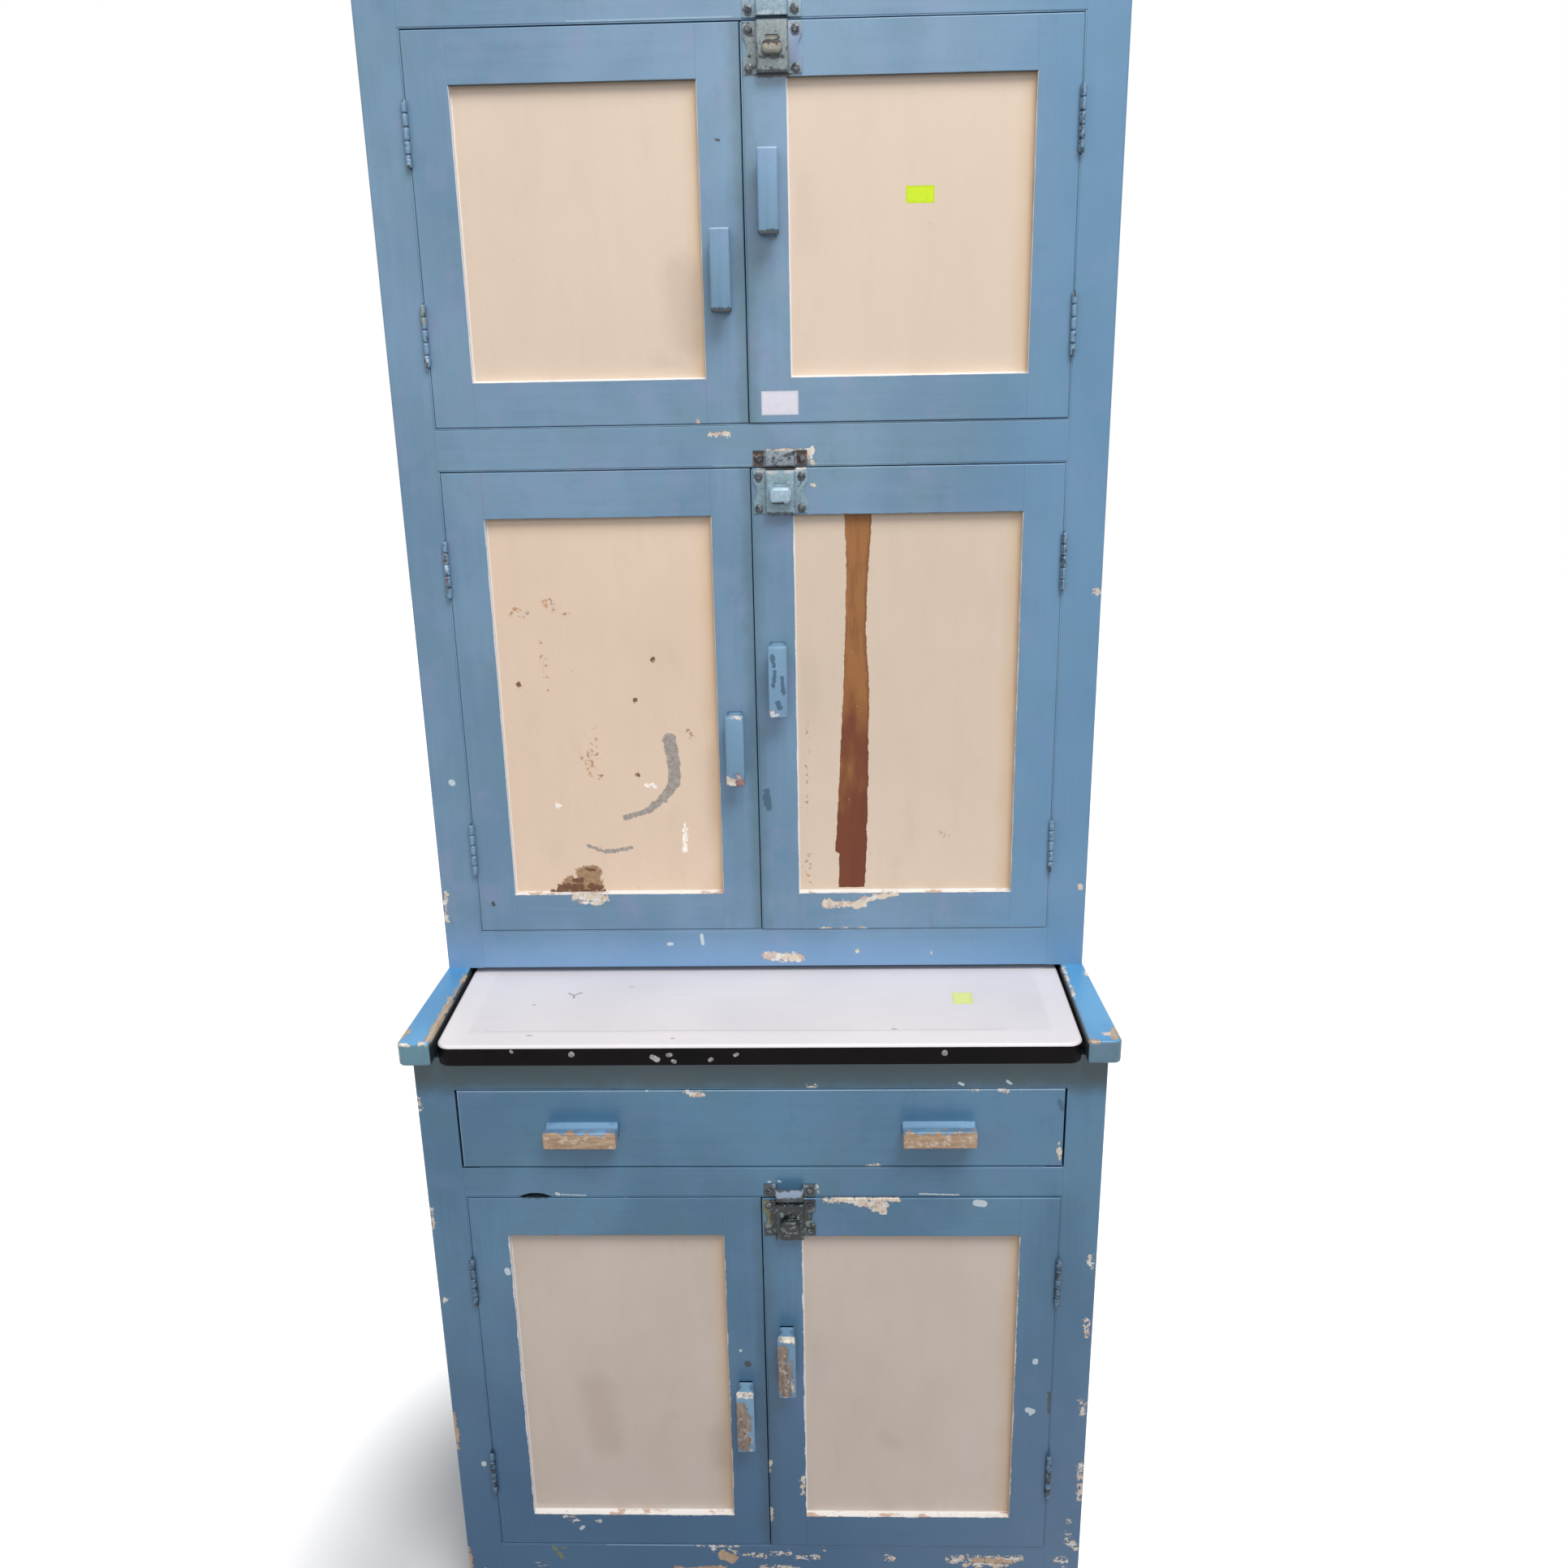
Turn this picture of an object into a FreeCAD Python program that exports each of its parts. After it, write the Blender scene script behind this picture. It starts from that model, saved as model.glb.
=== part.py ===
import FreeCAD, Part
import os

# A two-part kitchen cabinet: a base with a drawer, two doors and an enamelled worktop that
# pulls out between side arms, and a shallower hutch with two pairs of doors standing on the
# arms. Millimetres. X is across, -Y is the front, +Z is up, and the origin is on the floor
# under the middle of the cabinet's outer box.

# Overall sizes
cabinet_width = 762.0
base_depth = 432.0
hutch_depth = 262.0

# Boards
side_board = 19.0            # sides and floors of both carcasses
frame_board = 20.0           # face frames, front to back
back_board = 6.0
top_board = 18.0             # lid of the hutch
shelf_board = 16.0
frame_stile = 43.0           # upright of a face frame, seen from the front
corner_round = 2.0           # outer corners of the face frames

# Heights in the base, from the floor up
base_bottom_rail = 98.0
lower_door_height = 501.0
base_middle_rail = 37.0
drawer_front_height = 97.0
base_top_rail = 40.0
rail_notch_width = 36.0      # a worn notch in the lower edge of the base's middle rail
rail_notch_rise = 5.0
rail_notch_middle = 257.5    # left of the middle of the cabinet

# Heights in the hutch, from the side arms up
hutch_bottom_rail = 47.0
middle_door_height = 537.0
hutch_middle_rail = 43.0
upper_door_height = 381.0
hutch_top_rail = 50.0

# Doors
door_gap = 2.0               # all round a door or the drawer front, and between two doors
door_board = 19.0
door_stile = 44.0
door_top_rail = 50.0
door_bottom_rail = 46.0
panel_board = 5.0
panel_recess = 8.0           # from a door's face back to its panel
groove_depth = 10.0
panel_play = 0.5             # room for the panel to swell in its groove
right_door_proud = 1.5       # the right doors stand this far in front of the left ones
edge_round = 1.2
stop_drop = 10.0             # how far a stop strip shows below the rail that it is fixed to
stop_grip = 14.0
stop_board = 12.0
stop_end = 38.0              # from the end of a stop strip to the door opening's side

# Pulls
pull_length = 81.0
pull_out = 26.0
pull_base = 18.0
pull_waist = 11.0
pull_front = 21.0
pull_lip = 9.0
pull_round = 1.5
pull_inset = 24.0            # from a door's meeting edge to the middle of its pull
drawer_pull_spread = 396.0
pull_heights = {
    "upper_left": 152.0,
    "upper_right": 225.0,
    "middle_left": 227.0,
    "middle_right": 307.0,
    "lower_left": 207.0,
    "lower_right": 287.0,
}

# Butt hinges
hinge_length = 63.5
knuckle_radius = 3.2
knuckle_count = 5
knuckle_play = 0.3
knuckle_stand = 0.2          # air between the knuckles and the door's face
pin_radius = 1.6
pin_clearance = 0.05
leaf_play = 0.2              # air between the two leaves when the door is shut
leaf_depth = 14.0            # from the door's face to the back edge of the leaves
upper_hinge_inset = 94.0
middle_hinge_inset = 104.0
lower_hinge_inset = 112.0

# Rim catches
catch_width = 58.0
catch_height = 46.0
catch_edge = 1.5             # from a door's meeting edge, and from its top, to the catch
catch_sheet = 1.5
catch_housing = 32.0
catch_out = 11.0
catch_round = 3.0
catch_scallop = 4.0
bolt_play = 0.3
bolt_length = 34.0
bolt_travel = 9.0
bolt_sink = 0.5              # how far the bolt's end sits inside the case when it is drawn
thumb_neck_width = 12.0
thumb_neck_height = 8.0
thumb_width = 22.0
thumb_height = 18.0
thumb_out = 8.0
thumb_gap = 0.8
thumb_drop = 26.0            # from the case's top to the middle of the thumb piece
keeper_height = 16.0
keeper_lift = 0.5            # from the rail's lower edge to the keeper

# Small screws
screw_radius = 1.5
screw_length = 7.0
screw_head_radius = 3.4
screw_head_height = 1.8
screw_head_round = 1.2
screw_clearance = 0.1
screw_inset = 6.0            # from a catch's edges to its screws

# Side arms and pull-out worktop
arm_thickness = 27.0
arm_inset = 26.5             # from the cabinet's side in to the arm's inner face
arm_proud_back = 1.5         # how far the arm stands out past the cabinet's side
arm_proud_front = 10.0
arm_nose = 20.0              # in front of the base's face
arm_corner = 8.0
arm_round = 3.0
worktop_side_play = 3.5
worktop_board = 18.0
worktop_nose = 12.0          # in front of the base's face
worktop_back_play = 2.0
worktop_travel = 180.0
worktop_stop_play = 0.5
slide_play = 0.3
enamel_sheet = 1.6
enamel_lip = 24.0
enamel_corner = 20.0
enamel_round = 3.0
lip_screw_spread = 404.0
lip_screw_drop = 10.0
batten = 20.0
runner_width = 30.0
runner_height = 20.0

# Drawer
drawer_side_board = 12.0
drawer_side_height = 83.0
drawer_length = 390.0        # behind the drawer's front
drawer_bottom_board = 5.0
drawer_bottom_lift = 8.0
drawer_groove = 5.0
drawer_bottom_play = 0.3
drawer_runner_ledge = 17.0   # how far a drawer runner reaches in under the drawer's side
drawer_guide_height = 30.0
kicker_play = 1.0

# Shelves
base_shelf_depth = 250.0
hutch_shelf_depth = 190.0
base_shelf_lift = 250.0      # above the floor of its cupboard
middle_shelf_lift = 255.0
upper_shelf_lift = 200.0
cleat = 15.0

# Places worked out from the sizes above
half_width = cabinet_width / 2
side_inner = half_width - side_board
opening_half = half_width - frame_stile
door_outer = opening_half - door_gap
door_meet = door_gap / 2
base_face = (pull_out + right_door_proud - base_depth) / 2
back = base_face + base_depth
inside_back = back - back_board
hutch_face = back - hutch_depth
base_inside = base_face + frame_board
hutch_inside = hutch_face + frame_board

lower_door_bottom = base_bottom_rail + door_gap
base_rail_bottom = lower_door_bottom + lower_door_height + door_gap
base_rail_top = base_rail_bottom + base_middle_rail
drawer_bottom_z = base_rail_top + door_gap
top_rail_bottom = drawer_bottom_z + drawer_front_height + door_gap
base_top = top_rail_bottom + base_top_rail
arm_top = base_top + arm_thickness
hutch_floor_top = arm_top + hutch_bottom_rail
middle_door_bottom = hutch_floor_top + door_gap
hutch_rail_bottom = middle_door_bottom + middle_door_height + door_gap
hutch_rail_top = hutch_rail_bottom + hutch_middle_rail
upper_door_bottom = hutch_rail_top + door_gap
hutch_top_bottom = upper_door_bottom + upper_door_height + door_gap
hutch_side_top = hutch_top_bottom + hutch_top_rail
cabinet_height = hutch_side_top + top_board

arm_inner = half_width - arm_inset
arm_outer_back = half_width + arm_proud_back
arm_outer_front = half_width + arm_proud_front
worktop_bottom = base_top + slide_play
enamel_top = worktop_bottom + worktop_board + enamel_sheet
worktop_half = arm_inner - worktop_side_play
worktop_front = base_face - worktop_nose
worktop_back = inside_back - worktop_back_play
leaf_sheet = (door_gap - leaf_play) / 2
hinge_axis = opening_half - door_gap / 2
catch_middle = door_meet + catch_edge + catch_width / 2
drawer_side_bottom = base_rail_top + slide_play
drawer_box_front = base_face + door_board

rows = {
    "upper": {
        "face": hutch_face,
        "bottom": upper_door_bottom,
        "height": upper_door_height,
        "hinge_inset": upper_hinge_inset,
    },
    "middle": {
        "face": hutch_face,
        "bottom": middle_door_bottom,
        "height": middle_door_height,
        "hinge_inset": middle_hinge_inset,
    },
    "lower": {
        "face": base_face,
        "bottom": lower_door_bottom,
        "height": lower_door_height,
        "hinge_inset": lower_hinge_inset,
    },
}
near = 0.01                  # how close two edges count as being in one plane
across = FreeCAD.Vector(1, 0, 0)
inward = FreeCAD.Vector(0, 1, 0)
upward = FreeCAD.Vector(0, 0, 1)
middle = FreeCAD.Vector(0, 0, 0)


def point(x, y, z):
    return FreeCAD.Vector(x, y, z)


def block(x0, x1, y0, y1, z0, z1):
    """A box between two values on each axis."""
    return Part.makeBox(x1 - x0, y1 - y0, z1 - z0, point(x0, y0, z0))


def mirrored(shape):
    return shape.mirror(middle, across)


def both_sides(shape):
    """The shape on the right and its twin on the left."""
    return [shape, mirrored(shape)]


def ease(solid, radius, chosen):
    """Rounds the edges whose bounding box the function chosen accepts."""
    return solid.makeFillet(radius, [edge for edge in solid.Edges if chosen(edge.BoundBox)])


def ease_front(solid, radius, face, x_edges=(), z_edges=()):
    """Rounds a board's front edges that run up at x_edges or across at z_edges."""

    def chosen(box):
        if box.YMax > face + near:
            return False
        upright = [x for x in x_edges if abs(box.XMin - x) < near and abs(box.XMax - x) < near]
        level = [z for z in z_edges if abs(box.ZMin - z) < near and abs(box.ZMax - z) < near]
        return bool(upright or level)

    return ease(solid, radius, chosen)


def screw(x, seat, z):
    """A round-head screw that goes in along +Y, with its head on the plane y = seat."""
    head = Part.makeCylinder(screw_head_radius, screw_head_height,
                             point(x, seat - screw_head_height, z), inward)
    head = ease(head, screw_head_round, lambda box: box.YMax < seat - screw_head_height + near)
    shank = Part.makeCylinder(screw_radius, screw_length, point(x, seat, z), inward)
    return head.fuse(shank)


def screw_hole(x, seat, z):
    """What is drilled away for that screw."""
    return Part.makeCylinder(screw_radius + screw_clearance, screw_length + 2 * screw_clearance,
                             point(x, seat - screw_clearance, z), inward)


def catch_screws(bottom, height):
    """The x and z of the screws of a plate that is as wide as a catch."""
    reach = catch_width / 2 - screw_inset
    levels = [bottom + screw_inset, bottom + height - screw_inset]
    if height < 4 * screw_inset:
        levels = [bottom + height / 2]
    return [(catch_middle + side * reach, z) for side in (-1, 1) for z in levels]


def keeper_bottom(row):
    return row["bottom"] + row["height"] + door_gap + keeper_lift


def case_bottom(row):
    return row["bottom"] + row["height"] - catch_edge - catch_height


def keeper_holes(row):
    seat = row["face"] - catch_sheet
    return [screw_hole(x, seat, z) for x, z in catch_screws(keeper_bottom(row), keeper_height)]


def face_frame(face, bottom, top, rails, drilled):
    """Two full-height stiles and the rails between them, all flush at the front."""
    stile = block(opening_half, half_width, face, face + frame_board, bottom, top)
    stile = ease(stile, corner_round,
                 lambda box: box.XMin > half_width - near and box.YMax < face + near)
    boards = both_sides(stile)
    for low, high, eased in rails:
        rail = block(-opening_half, opening_half, face, face + frame_board, low, high)
        rail = ease_front(rail, edge_round, face, z_edges=eased)
        boards.append(rail.cut(Part.makeCompound(drilled)))
    return boards


def rail_notch():
    """The round end of a wide cylinder that lies front to back, which is cut out of the rail."""
    radius = ((rail_notch_width / 2) ** 2 + rail_notch_rise ** 2) / (2 * rail_notch_rise)
    centre = point(-rail_notch_middle, base_face - near, base_rail_bottom + rail_notch_rise - radius)
    return Part.makeCylinder(radius, frame_board + 2 * near, centre, inward)


def base_parts():
    side = block(side_inner, half_width, base_inside, inside_back, 0, base_top)
    floor_bottom = base_bottom_rail - side_board
    rails = [
        (0, base_bottom_rail, [base_bottom_rail]),
        (base_rail_bottom, base_rail_top, [base_rail_bottom, base_rail_top]),
        (top_rail_bottom, base_top, [top_rail_bottom]),
    ]
    return {
        "base_sides": both_sides(side),
        "base_bottom_board": [
            block(-side_inner, side_inner, base_inside, inside_back, floor_bottom, base_bottom_rail)
        ],
        "base_back_panel": [block(-half_width, half_width, inside_back, back, 0, base_top)],
        "base_face_frame": face_frame(base_face, 0, base_top, rails,
                                      keeper_holes(rows["lower"]) + [rail_notch()]),
        "drawer_runners": drawer_runners(),
        "worktop_runners": both_sides(
            block(side_inner - runner_width, side_inner, base_inside, inside_back,
                  base_top - runner_height, base_top)
        ),
    }


def drawer_runners():
    """On each side a runner under the drawer, a guide beside it and a kicker above it."""
    ledge = opening_half - drawer_runner_ledge
    kicker_bottom = drawer_side_bottom + drawer_side_height + kicker_play
    runner = block(ledge, side_inner, base_inside, inside_back,
                   base_rail_top - runner_height, base_rail_top)
    guide = block(opening_half, side_inner, base_inside, inside_back,
                  base_rail_top, base_rail_top + drawer_guide_height)
    kicker = block(ledge, side_inner, base_inside, inside_back,
                   kicker_bottom, kicker_bottom + runner_height)
    return both_sides(runner) + both_sides(guide) + both_sides(kicker)


def side_arm():
    """The right arm: it widens from the hutch to a blunt nose with rounded corners."""
    nose = base_face - arm_nose
    outline = [
        point(arm_inner, inside_back, base_top),
        point(arm_outer_back, inside_back, base_top),
        point(arm_outer_back, hutch_face, base_top),
        point(arm_outer_front, nose, base_top),
        point(arm_inner, nose, base_top),
    ]
    wire = Part.makePolygon(outline + [outline[0]])
    arm = Part.Face(wire).extrude(upward * arm_thickness)
    arm = ease(arm, arm_corner, lambda box: box.XMin > arm_outer_front - near and box.ZLength > near)
    arm = ease(arm, arm_round, lambda box: box.XMax < arm_inner + near and box.YMax < nose + near)
    front = hutch_face - near
    return ease(arm, arm_round, lambda box: box.YMax < front + 2 * near and box.ZLength < near)


def worktop_slab(half, front, corner, low, high, rounding):
    """A slab with two rounded front corners and its top edge rounded at the front and sides."""
    slab = block(-half, half, front, worktop_back, low, high)
    slab = ease(slab, corner, lambda box: box.YMax < front + near and box.ZLength > near)
    return ease(slab, rounding, lambda box: box.ZMin > high - near and box.YMin < worktop_back - near)


def worktop_parts():
    lip_bottom = enamel_top - enamel_lip
    board_half = worktop_half - enamel_sheet
    board_front = worktop_front + enamel_sheet
    board_top = enamel_top - enamel_sheet
    inner_corner = enamel_corner - enamel_sheet
    inner_round = enamel_round - enamel_sheet
    board = worktop_slab(board_half, board_front, inner_corner, worktop_bottom, board_top, inner_round)
    skin = worktop_slab(worktop_half, worktop_front, enamel_corner, lip_bottom, enamel_top, enamel_round)
    filling = worktop_slab(board_half, board_front, inner_corner, lip_bottom, board_top, inner_round)
    skin = skin.cut(filling)
    skin = skin.cut(block(-worktop_half, worktop_half, base_face - worktop_stop_play, worktop_back,
                          lip_bottom, worktop_bottom))
    lip_screws = []
    for side in (-1, 1):
        x = side * lip_screw_spread / 2
        z = enamel_top - lip_screw_drop
        lip_screws.append(screw(x, worktop_front, z))
        skin = skin.cut(screw_hole(x, worktop_front, z))
        board = board.cut(screw_hole(x, worktop_front, z))
    batten_front = base_inside + worktop_travel + worktop_stop_play
    batten_half = side_inner - runner_width - door_gap
    return {
        "worktop_board": [board],
        "worktop_enamel": [skin],
        "worktop_screws": lip_screws,
        "worktop_stop_batten": [
            block(-batten_half, batten_half, batten_front, batten_front + batten,
                  worktop_bottom - batten, worktop_bottom)
        ],
    }


def pull(x, face, z):
    """An upright wooden pull on the plane y = face: a block with a finger hollow down each side."""
    base_half = pull_base / 2
    waist_half = pull_waist / 2
    front_half = pull_front / 2
    low = z - pull_length / 2
    lip_back = face - pull_out + pull_lip
    nose = face - pull_out
    hollow = (face + lip_back) / 2
    sides = [
        Part.LineSegment(point(x - base_half, face, low), point(x + base_half, face, low)).toShape(),
        Part.Arc(point(x + base_half, face, low), point(x + waist_half, hollow, low),
                 point(x + front_half, lip_back, low)).toShape(),
        Part.LineSegment(point(x + front_half, lip_back, low), point(x + front_half, nose, low)).toShape(),
        Part.LineSegment(point(x + front_half, nose, low), point(x - front_half, nose, low)).toShape(),
        Part.LineSegment(point(x - front_half, nose, low), point(x - front_half, lip_back, low)).toShape(),
        Part.Arc(point(x - front_half, lip_back, low), point(x - waist_half, hollow, low),
                 point(x - base_half, face, low)).toShape(),
    ]
    solid = Part.Face(Part.Wire(sides)).extrude(upward * pull_length)
    return ease(solid, pull_round, lambda box: box.YMax < nose + near)


def drawer_parts():
    top = drawer_side_bottom + drawer_side_height
    inner_half = door_outer - drawer_side_board
    box_back = drawer_box_front + drawer_length
    bottom_z = drawer_side_bottom + drawer_bottom_lift
    front_top = drawer_bottom_z + drawer_front_height
    front = block(-door_outer, door_outer, base_face, drawer_box_front, drawer_bottom_z, front_top)
    front = ease_front(front, edge_round, base_face,
                       [-door_outer, door_outer], [drawer_bottom_z, front_top])
    groove_half = inner_half + drawer_groove
    groove_front = drawer_box_front - drawer_groove
    bottom_top = bottom_z + drawer_bottom_board
    groove = block(-groove_half, groove_half, groove_front, box_back, bottom_z, bottom_top)
    side = block(inner_half, door_outer, drawer_box_front, box_back, drawer_side_bottom, top)
    bottom_half = groove_half - drawer_bottom_play
    bottom = block(-bottom_half, bottom_half, groove_front + drawer_bottom_play, box_back,
                   bottom_z, bottom_top)
    rear = block(-inner_half, inner_half, box_back - drawer_side_board, box_back, bottom_top, top)
    pulls = []
    for side_sign in (-1, 1):
        centre = point(side_sign * drawer_pull_spread / 2, base_face, (drawer_bottom_z + front_top) / 2)
        handle = pull(centre.x, centre.y, centre.z)
        handle.rotate(centre, inward, 90)
        pulls.append(handle)
    return {
        "drawer_front": [front.cut(groove)],
        "drawer_sides": both_sides(side.cut(groove)),
        "drawer_back": [rear],
        "drawer_bottom": [bottom],
        "drawer_pulls": pulls,
    }


def hutch_parts():
    side = block(side_inner, half_width, hutch_inside, inside_back, arm_top, hutch_side_top)
    holes = keeper_holes(rows["middle"]) + keeper_holes(rows["upper"])
    rails = [
        (arm_top, hutch_floor_top, [arm_top, hutch_floor_top]),
        (hutch_rail_bottom, hutch_rail_top, [hutch_rail_bottom, hutch_rail_top]),
        (hutch_top_bottom, hutch_side_top, [hutch_top_bottom]),
    ]
    top = block(-half_width, half_width, hutch_face, back, hutch_side_top, cabinet_height)
    return {
        "hutch_sides": both_sides(side),
        "hutch_top_board": [
            ease_front(top, corner_round, hutch_face, [-half_width, half_width], [cabinet_height])
        ],
        "hutch_floor_board": [
            block(-side_inner, side_inner, hutch_inside, inside_back,
                  hutch_floor_top - side_board, hutch_floor_top)
        ],
        "hutch_divider_board": [
            block(-side_inner, side_inner, hutch_inside, inside_back,
                  hutch_rail_top - side_board, hutch_rail_top)
        ],
        "hutch_back_panel": [block(-half_width, half_width, inside_back, back, base_top, hutch_side_top)],
        "hutch_face_frame": face_frame(hutch_face, arm_top, hutch_side_top, rails, holes),
    }


def shelf_parts():
    """Three shelves, each on a cleat at either end."""
    places = [
        (base_bottom_rail + base_shelf_lift, base_shelf_depth),
        (hutch_floor_top + middle_shelf_lift, hutch_shelf_depth),
        (hutch_rail_top + upper_shelf_lift, hutch_shelf_depth),
    ]
    shelves = []
    cleats = []
    for low, depth in places:
        front = inside_back - depth
        shelves.append(block(-side_inner, side_inner, front, inside_back, low, low + shelf_board))
        cleats += both_sides(block(side_inner - cleat, side_inner, front, inside_back, low - cleat, low))
    return {"shelves": shelves, "shelf_cleats": cleats}


def door_stops():
    """A strip on the back of the rail above each pair of doors, which they close against."""
    strips = []
    for row in rows.values():
        rail_low = row["bottom"] + row["height"] + door_gap
        rail_back = row["face"] + frame_board
        half = opening_half - stop_end
        strips.append(block(-half, half, rail_back, rail_back + stop_board,
                            rail_low - stop_drop, rail_low + stop_grip))
    return strips


def door_frame(row, face, drilled):
    """The right door's two grooved stiles and two grooved rails, with stub tenons in the grooves."""
    low = row["bottom"]
    high = low + row["height"]
    door_back = face + door_board
    groove_front = face + panel_recess
    groove_back = groove_front + panel_board
    panel_left = door_meet + door_stile
    panel_right = door_outer - door_stile
    panel_low = low + door_bottom_rail
    panel_high = high - door_top_rail
    tongue_left = panel_left - groove_depth
    tongue_right = panel_right + groove_depth
    groove = block(tongue_left, tongue_right, groove_front, groove_back, low, high)
    panel_seat = block(tongue_left, tongue_right, groove_front, groove_back,
                       panel_low - groove_depth, panel_high + groove_depth)
    boards = []
    for x0, x1, edge in ((door_meet, panel_left, door_meet), (panel_right, door_outer, door_outer)):
        stile = block(x0, x1, face, door_back, low, high)
        stile = ease_front(stile, edge_round, face, [edge], [low, high])
        boards.append(stile.cut(groove))
    for z0, z1, edge in ((low, panel_low, low), (panel_high, high, high)):
        rail = block(panel_left, panel_right, face, door_back, z0, z1)
        rail = ease_front(rail, edge_round, face, z_edges=[edge])
        tenon = block(tongue_left, tongue_right, groove_front, groove_back, z0, z1)
        boards.append(rail.fuse(tenon).removeSplitter().cut(panel_seat))
    if drilled:
        boards = [board.cut(Part.makeCompound(drilled)) for board in boards]
    return boards


def door_panel(row, face):
    reach = groove_depth - panel_play
    low = row["bottom"] + door_bottom_rail - reach
    high = row["bottom"] + row["height"] - door_top_rail + reach
    return block(door_meet + door_stile - reach, door_outer - door_stile + reach,
                 face + panel_recess, face + panel_recess + panel_board, low, high)


def hinge(middle_z, door_face):
    """A right-hand butt hinge: the frame's leaf with three knuckles, the door's with two, the pin."""
    axis_y = door_face - knuckle_radius - knuckle_stand
    leaf_front = axis_y + knuckle_radius + knuckle_play
    low = middle_z - hinge_length / 2
    pitch = hinge_length / knuckle_count
    bore = Part.makeCylinder(pin_radius + pin_clearance, hinge_length,
                             point(hinge_axis, axis_y, low), upward)
    leaves = []
    sheets = ((opening_half - leaf_sheet, opening_half), (door_outer, door_outer + leaf_sheet))
    for first, (x0, x1) in enumerate(sheets):
        leaf = block(x0, x1, leaf_front, door_face + leaf_depth, low, low + hinge_length)
        for number in range(first, knuckle_count, 2):
            z0 = low + number * pitch + knuckle_play / 2
            z1 = low + (number + 1) * pitch - knuckle_play / 2
            knuckle = Part.makeCylinder(knuckle_radius, z1 - z0, point(hinge_axis, axis_y, z0), upward)
            leaf = leaf.fuse([knuckle, block(x0, x1, axis_y, leaf_front, z0, z1)])
        leaves.append(leaf.removeSplitter().cut(bore))
    pin = Part.makeCylinder(pin_radius, hinge_length, point(hinge_axis, axis_y, low), upward)
    return leaves[0], leaves[1], pin


def bridge(bottom, height, seat, out, foot):
    """A pressed plate as wide as a catch with a raised hollow middle, open at the back and top.

    The hollow is also open at the bottom where foot is 0, and otherwise has a floor that thick.
    """
    x0 = catch_middle - catch_width / 2
    x1 = catch_middle + catch_width / 2
    h0 = catch_middle - catch_housing / 2
    h1 = catch_middle + catch_housing / 2
    plate = block(x0, x1, seat - catch_sheet, seat, bottom, bottom + height)
    housing = block(h0, h1, seat - out, seat, bottom, bottom + height)
    housing = ease(housing, catch_round,
                   lambda box: box.YMax < seat - out + near and box.ZLength > catch_round)
    hollow = block(h0 + catch_sheet, h1 - catch_sheet, seat - out + catch_sheet, seat,
                   bottom + foot, bottom + height)
    body = plate.fuse(housing).removeSplitter().cut(hollow)
    return body.cut(Part.makeCompound([
        screw_hole(x, seat - catch_sheet, z) for x, z in catch_screws(bottom, height)
    ]))


def catch_case(row, face):
    """The case on a right door, waisted between its screw ears, with a slot for the thumb piece."""
    bottom = case_bottom(row)
    top = bottom + catch_height
    body = bridge(bottom, catch_height, face, catch_out, catch_sheet)
    radius = catch_height / 2 - screw_inset - screw_head_radius
    for side in (-1, 1):
        x = catch_middle + side * (catch_width / 2 + radius - catch_scallop)
        scallop = Part.makeCylinder(radius, 2 * catch_sheet,
                                    point(x, face - 2 * catch_sheet, bottom + catch_height / 2), inward)
        body = body.cut(scallop)
    half = thumb_neck_width / 2 + bolt_play
    slot_low = top - thumb_drop - thumb_neck_height / 2 - bolt_play
    slot_high = slot_low + thumb_neck_height + bolt_travel + 2 * bolt_play
    slot = block(catch_middle - half, catch_middle + half,
                 face - catch_out - near, face - catch_out + 2 * catch_sheet, slot_low, slot_high)
    seat = face - catch_sheet
    return [body.cut(slot)] + [screw(x, seat, z) for x, z in catch_screws(bottom, catch_height)]


def catch_bolt(row, face):
    """The bolt inside the case, drawn down clear of the keeper, with its thumb piece outside."""
    top = case_bottom(row) + catch_height
    half = catch_housing / 2 - catch_sheet - bolt_play
    front = face - catch_out + catch_sheet + bolt_play
    bolt = block(catch_middle - half, catch_middle + half, front, face - bolt_play,
                 top - bolt_sink - bolt_length, top - bolt_sink)
    thumb_z = top - thumb_drop
    head_back = face - catch_out - thumb_gap
    neck = block(catch_middle - thumb_neck_width / 2, catch_middle + thumb_neck_width / 2,
                 head_back, front, thumb_z - thumb_neck_height / 2, thumb_z + thumb_neck_height / 2)
    head = block(catch_middle - thumb_width / 2, catch_middle + thumb_width / 2,
                 head_back - thumb_out, head_back,
                 thumb_z - thumb_height / 2, thumb_z + thumb_height / 2)
    head = ease(head, thumb_height / 3, lambda box: box.YLength > near and box.XLength < near)
    head = ease(head, pull_round, lambda box: box.YMax < head_back - thumb_out + near)
    return bolt.fuse([neck, head]).removeSplitter()


def keepers():
    """The hollow keepers on the rails above the right doors, each with its two screws."""
    solids = []
    for row in rows.values():
        bottom = keeper_bottom(row)
        solids.append(bridge(bottom, keeper_height, row["face"], catch_out + right_door_proud, 0))
        seat = row["face"] - catch_sheet
        solids += [screw(x, seat, z) for x, z in catch_screws(bottom, keeper_height)]
    return solids


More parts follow.
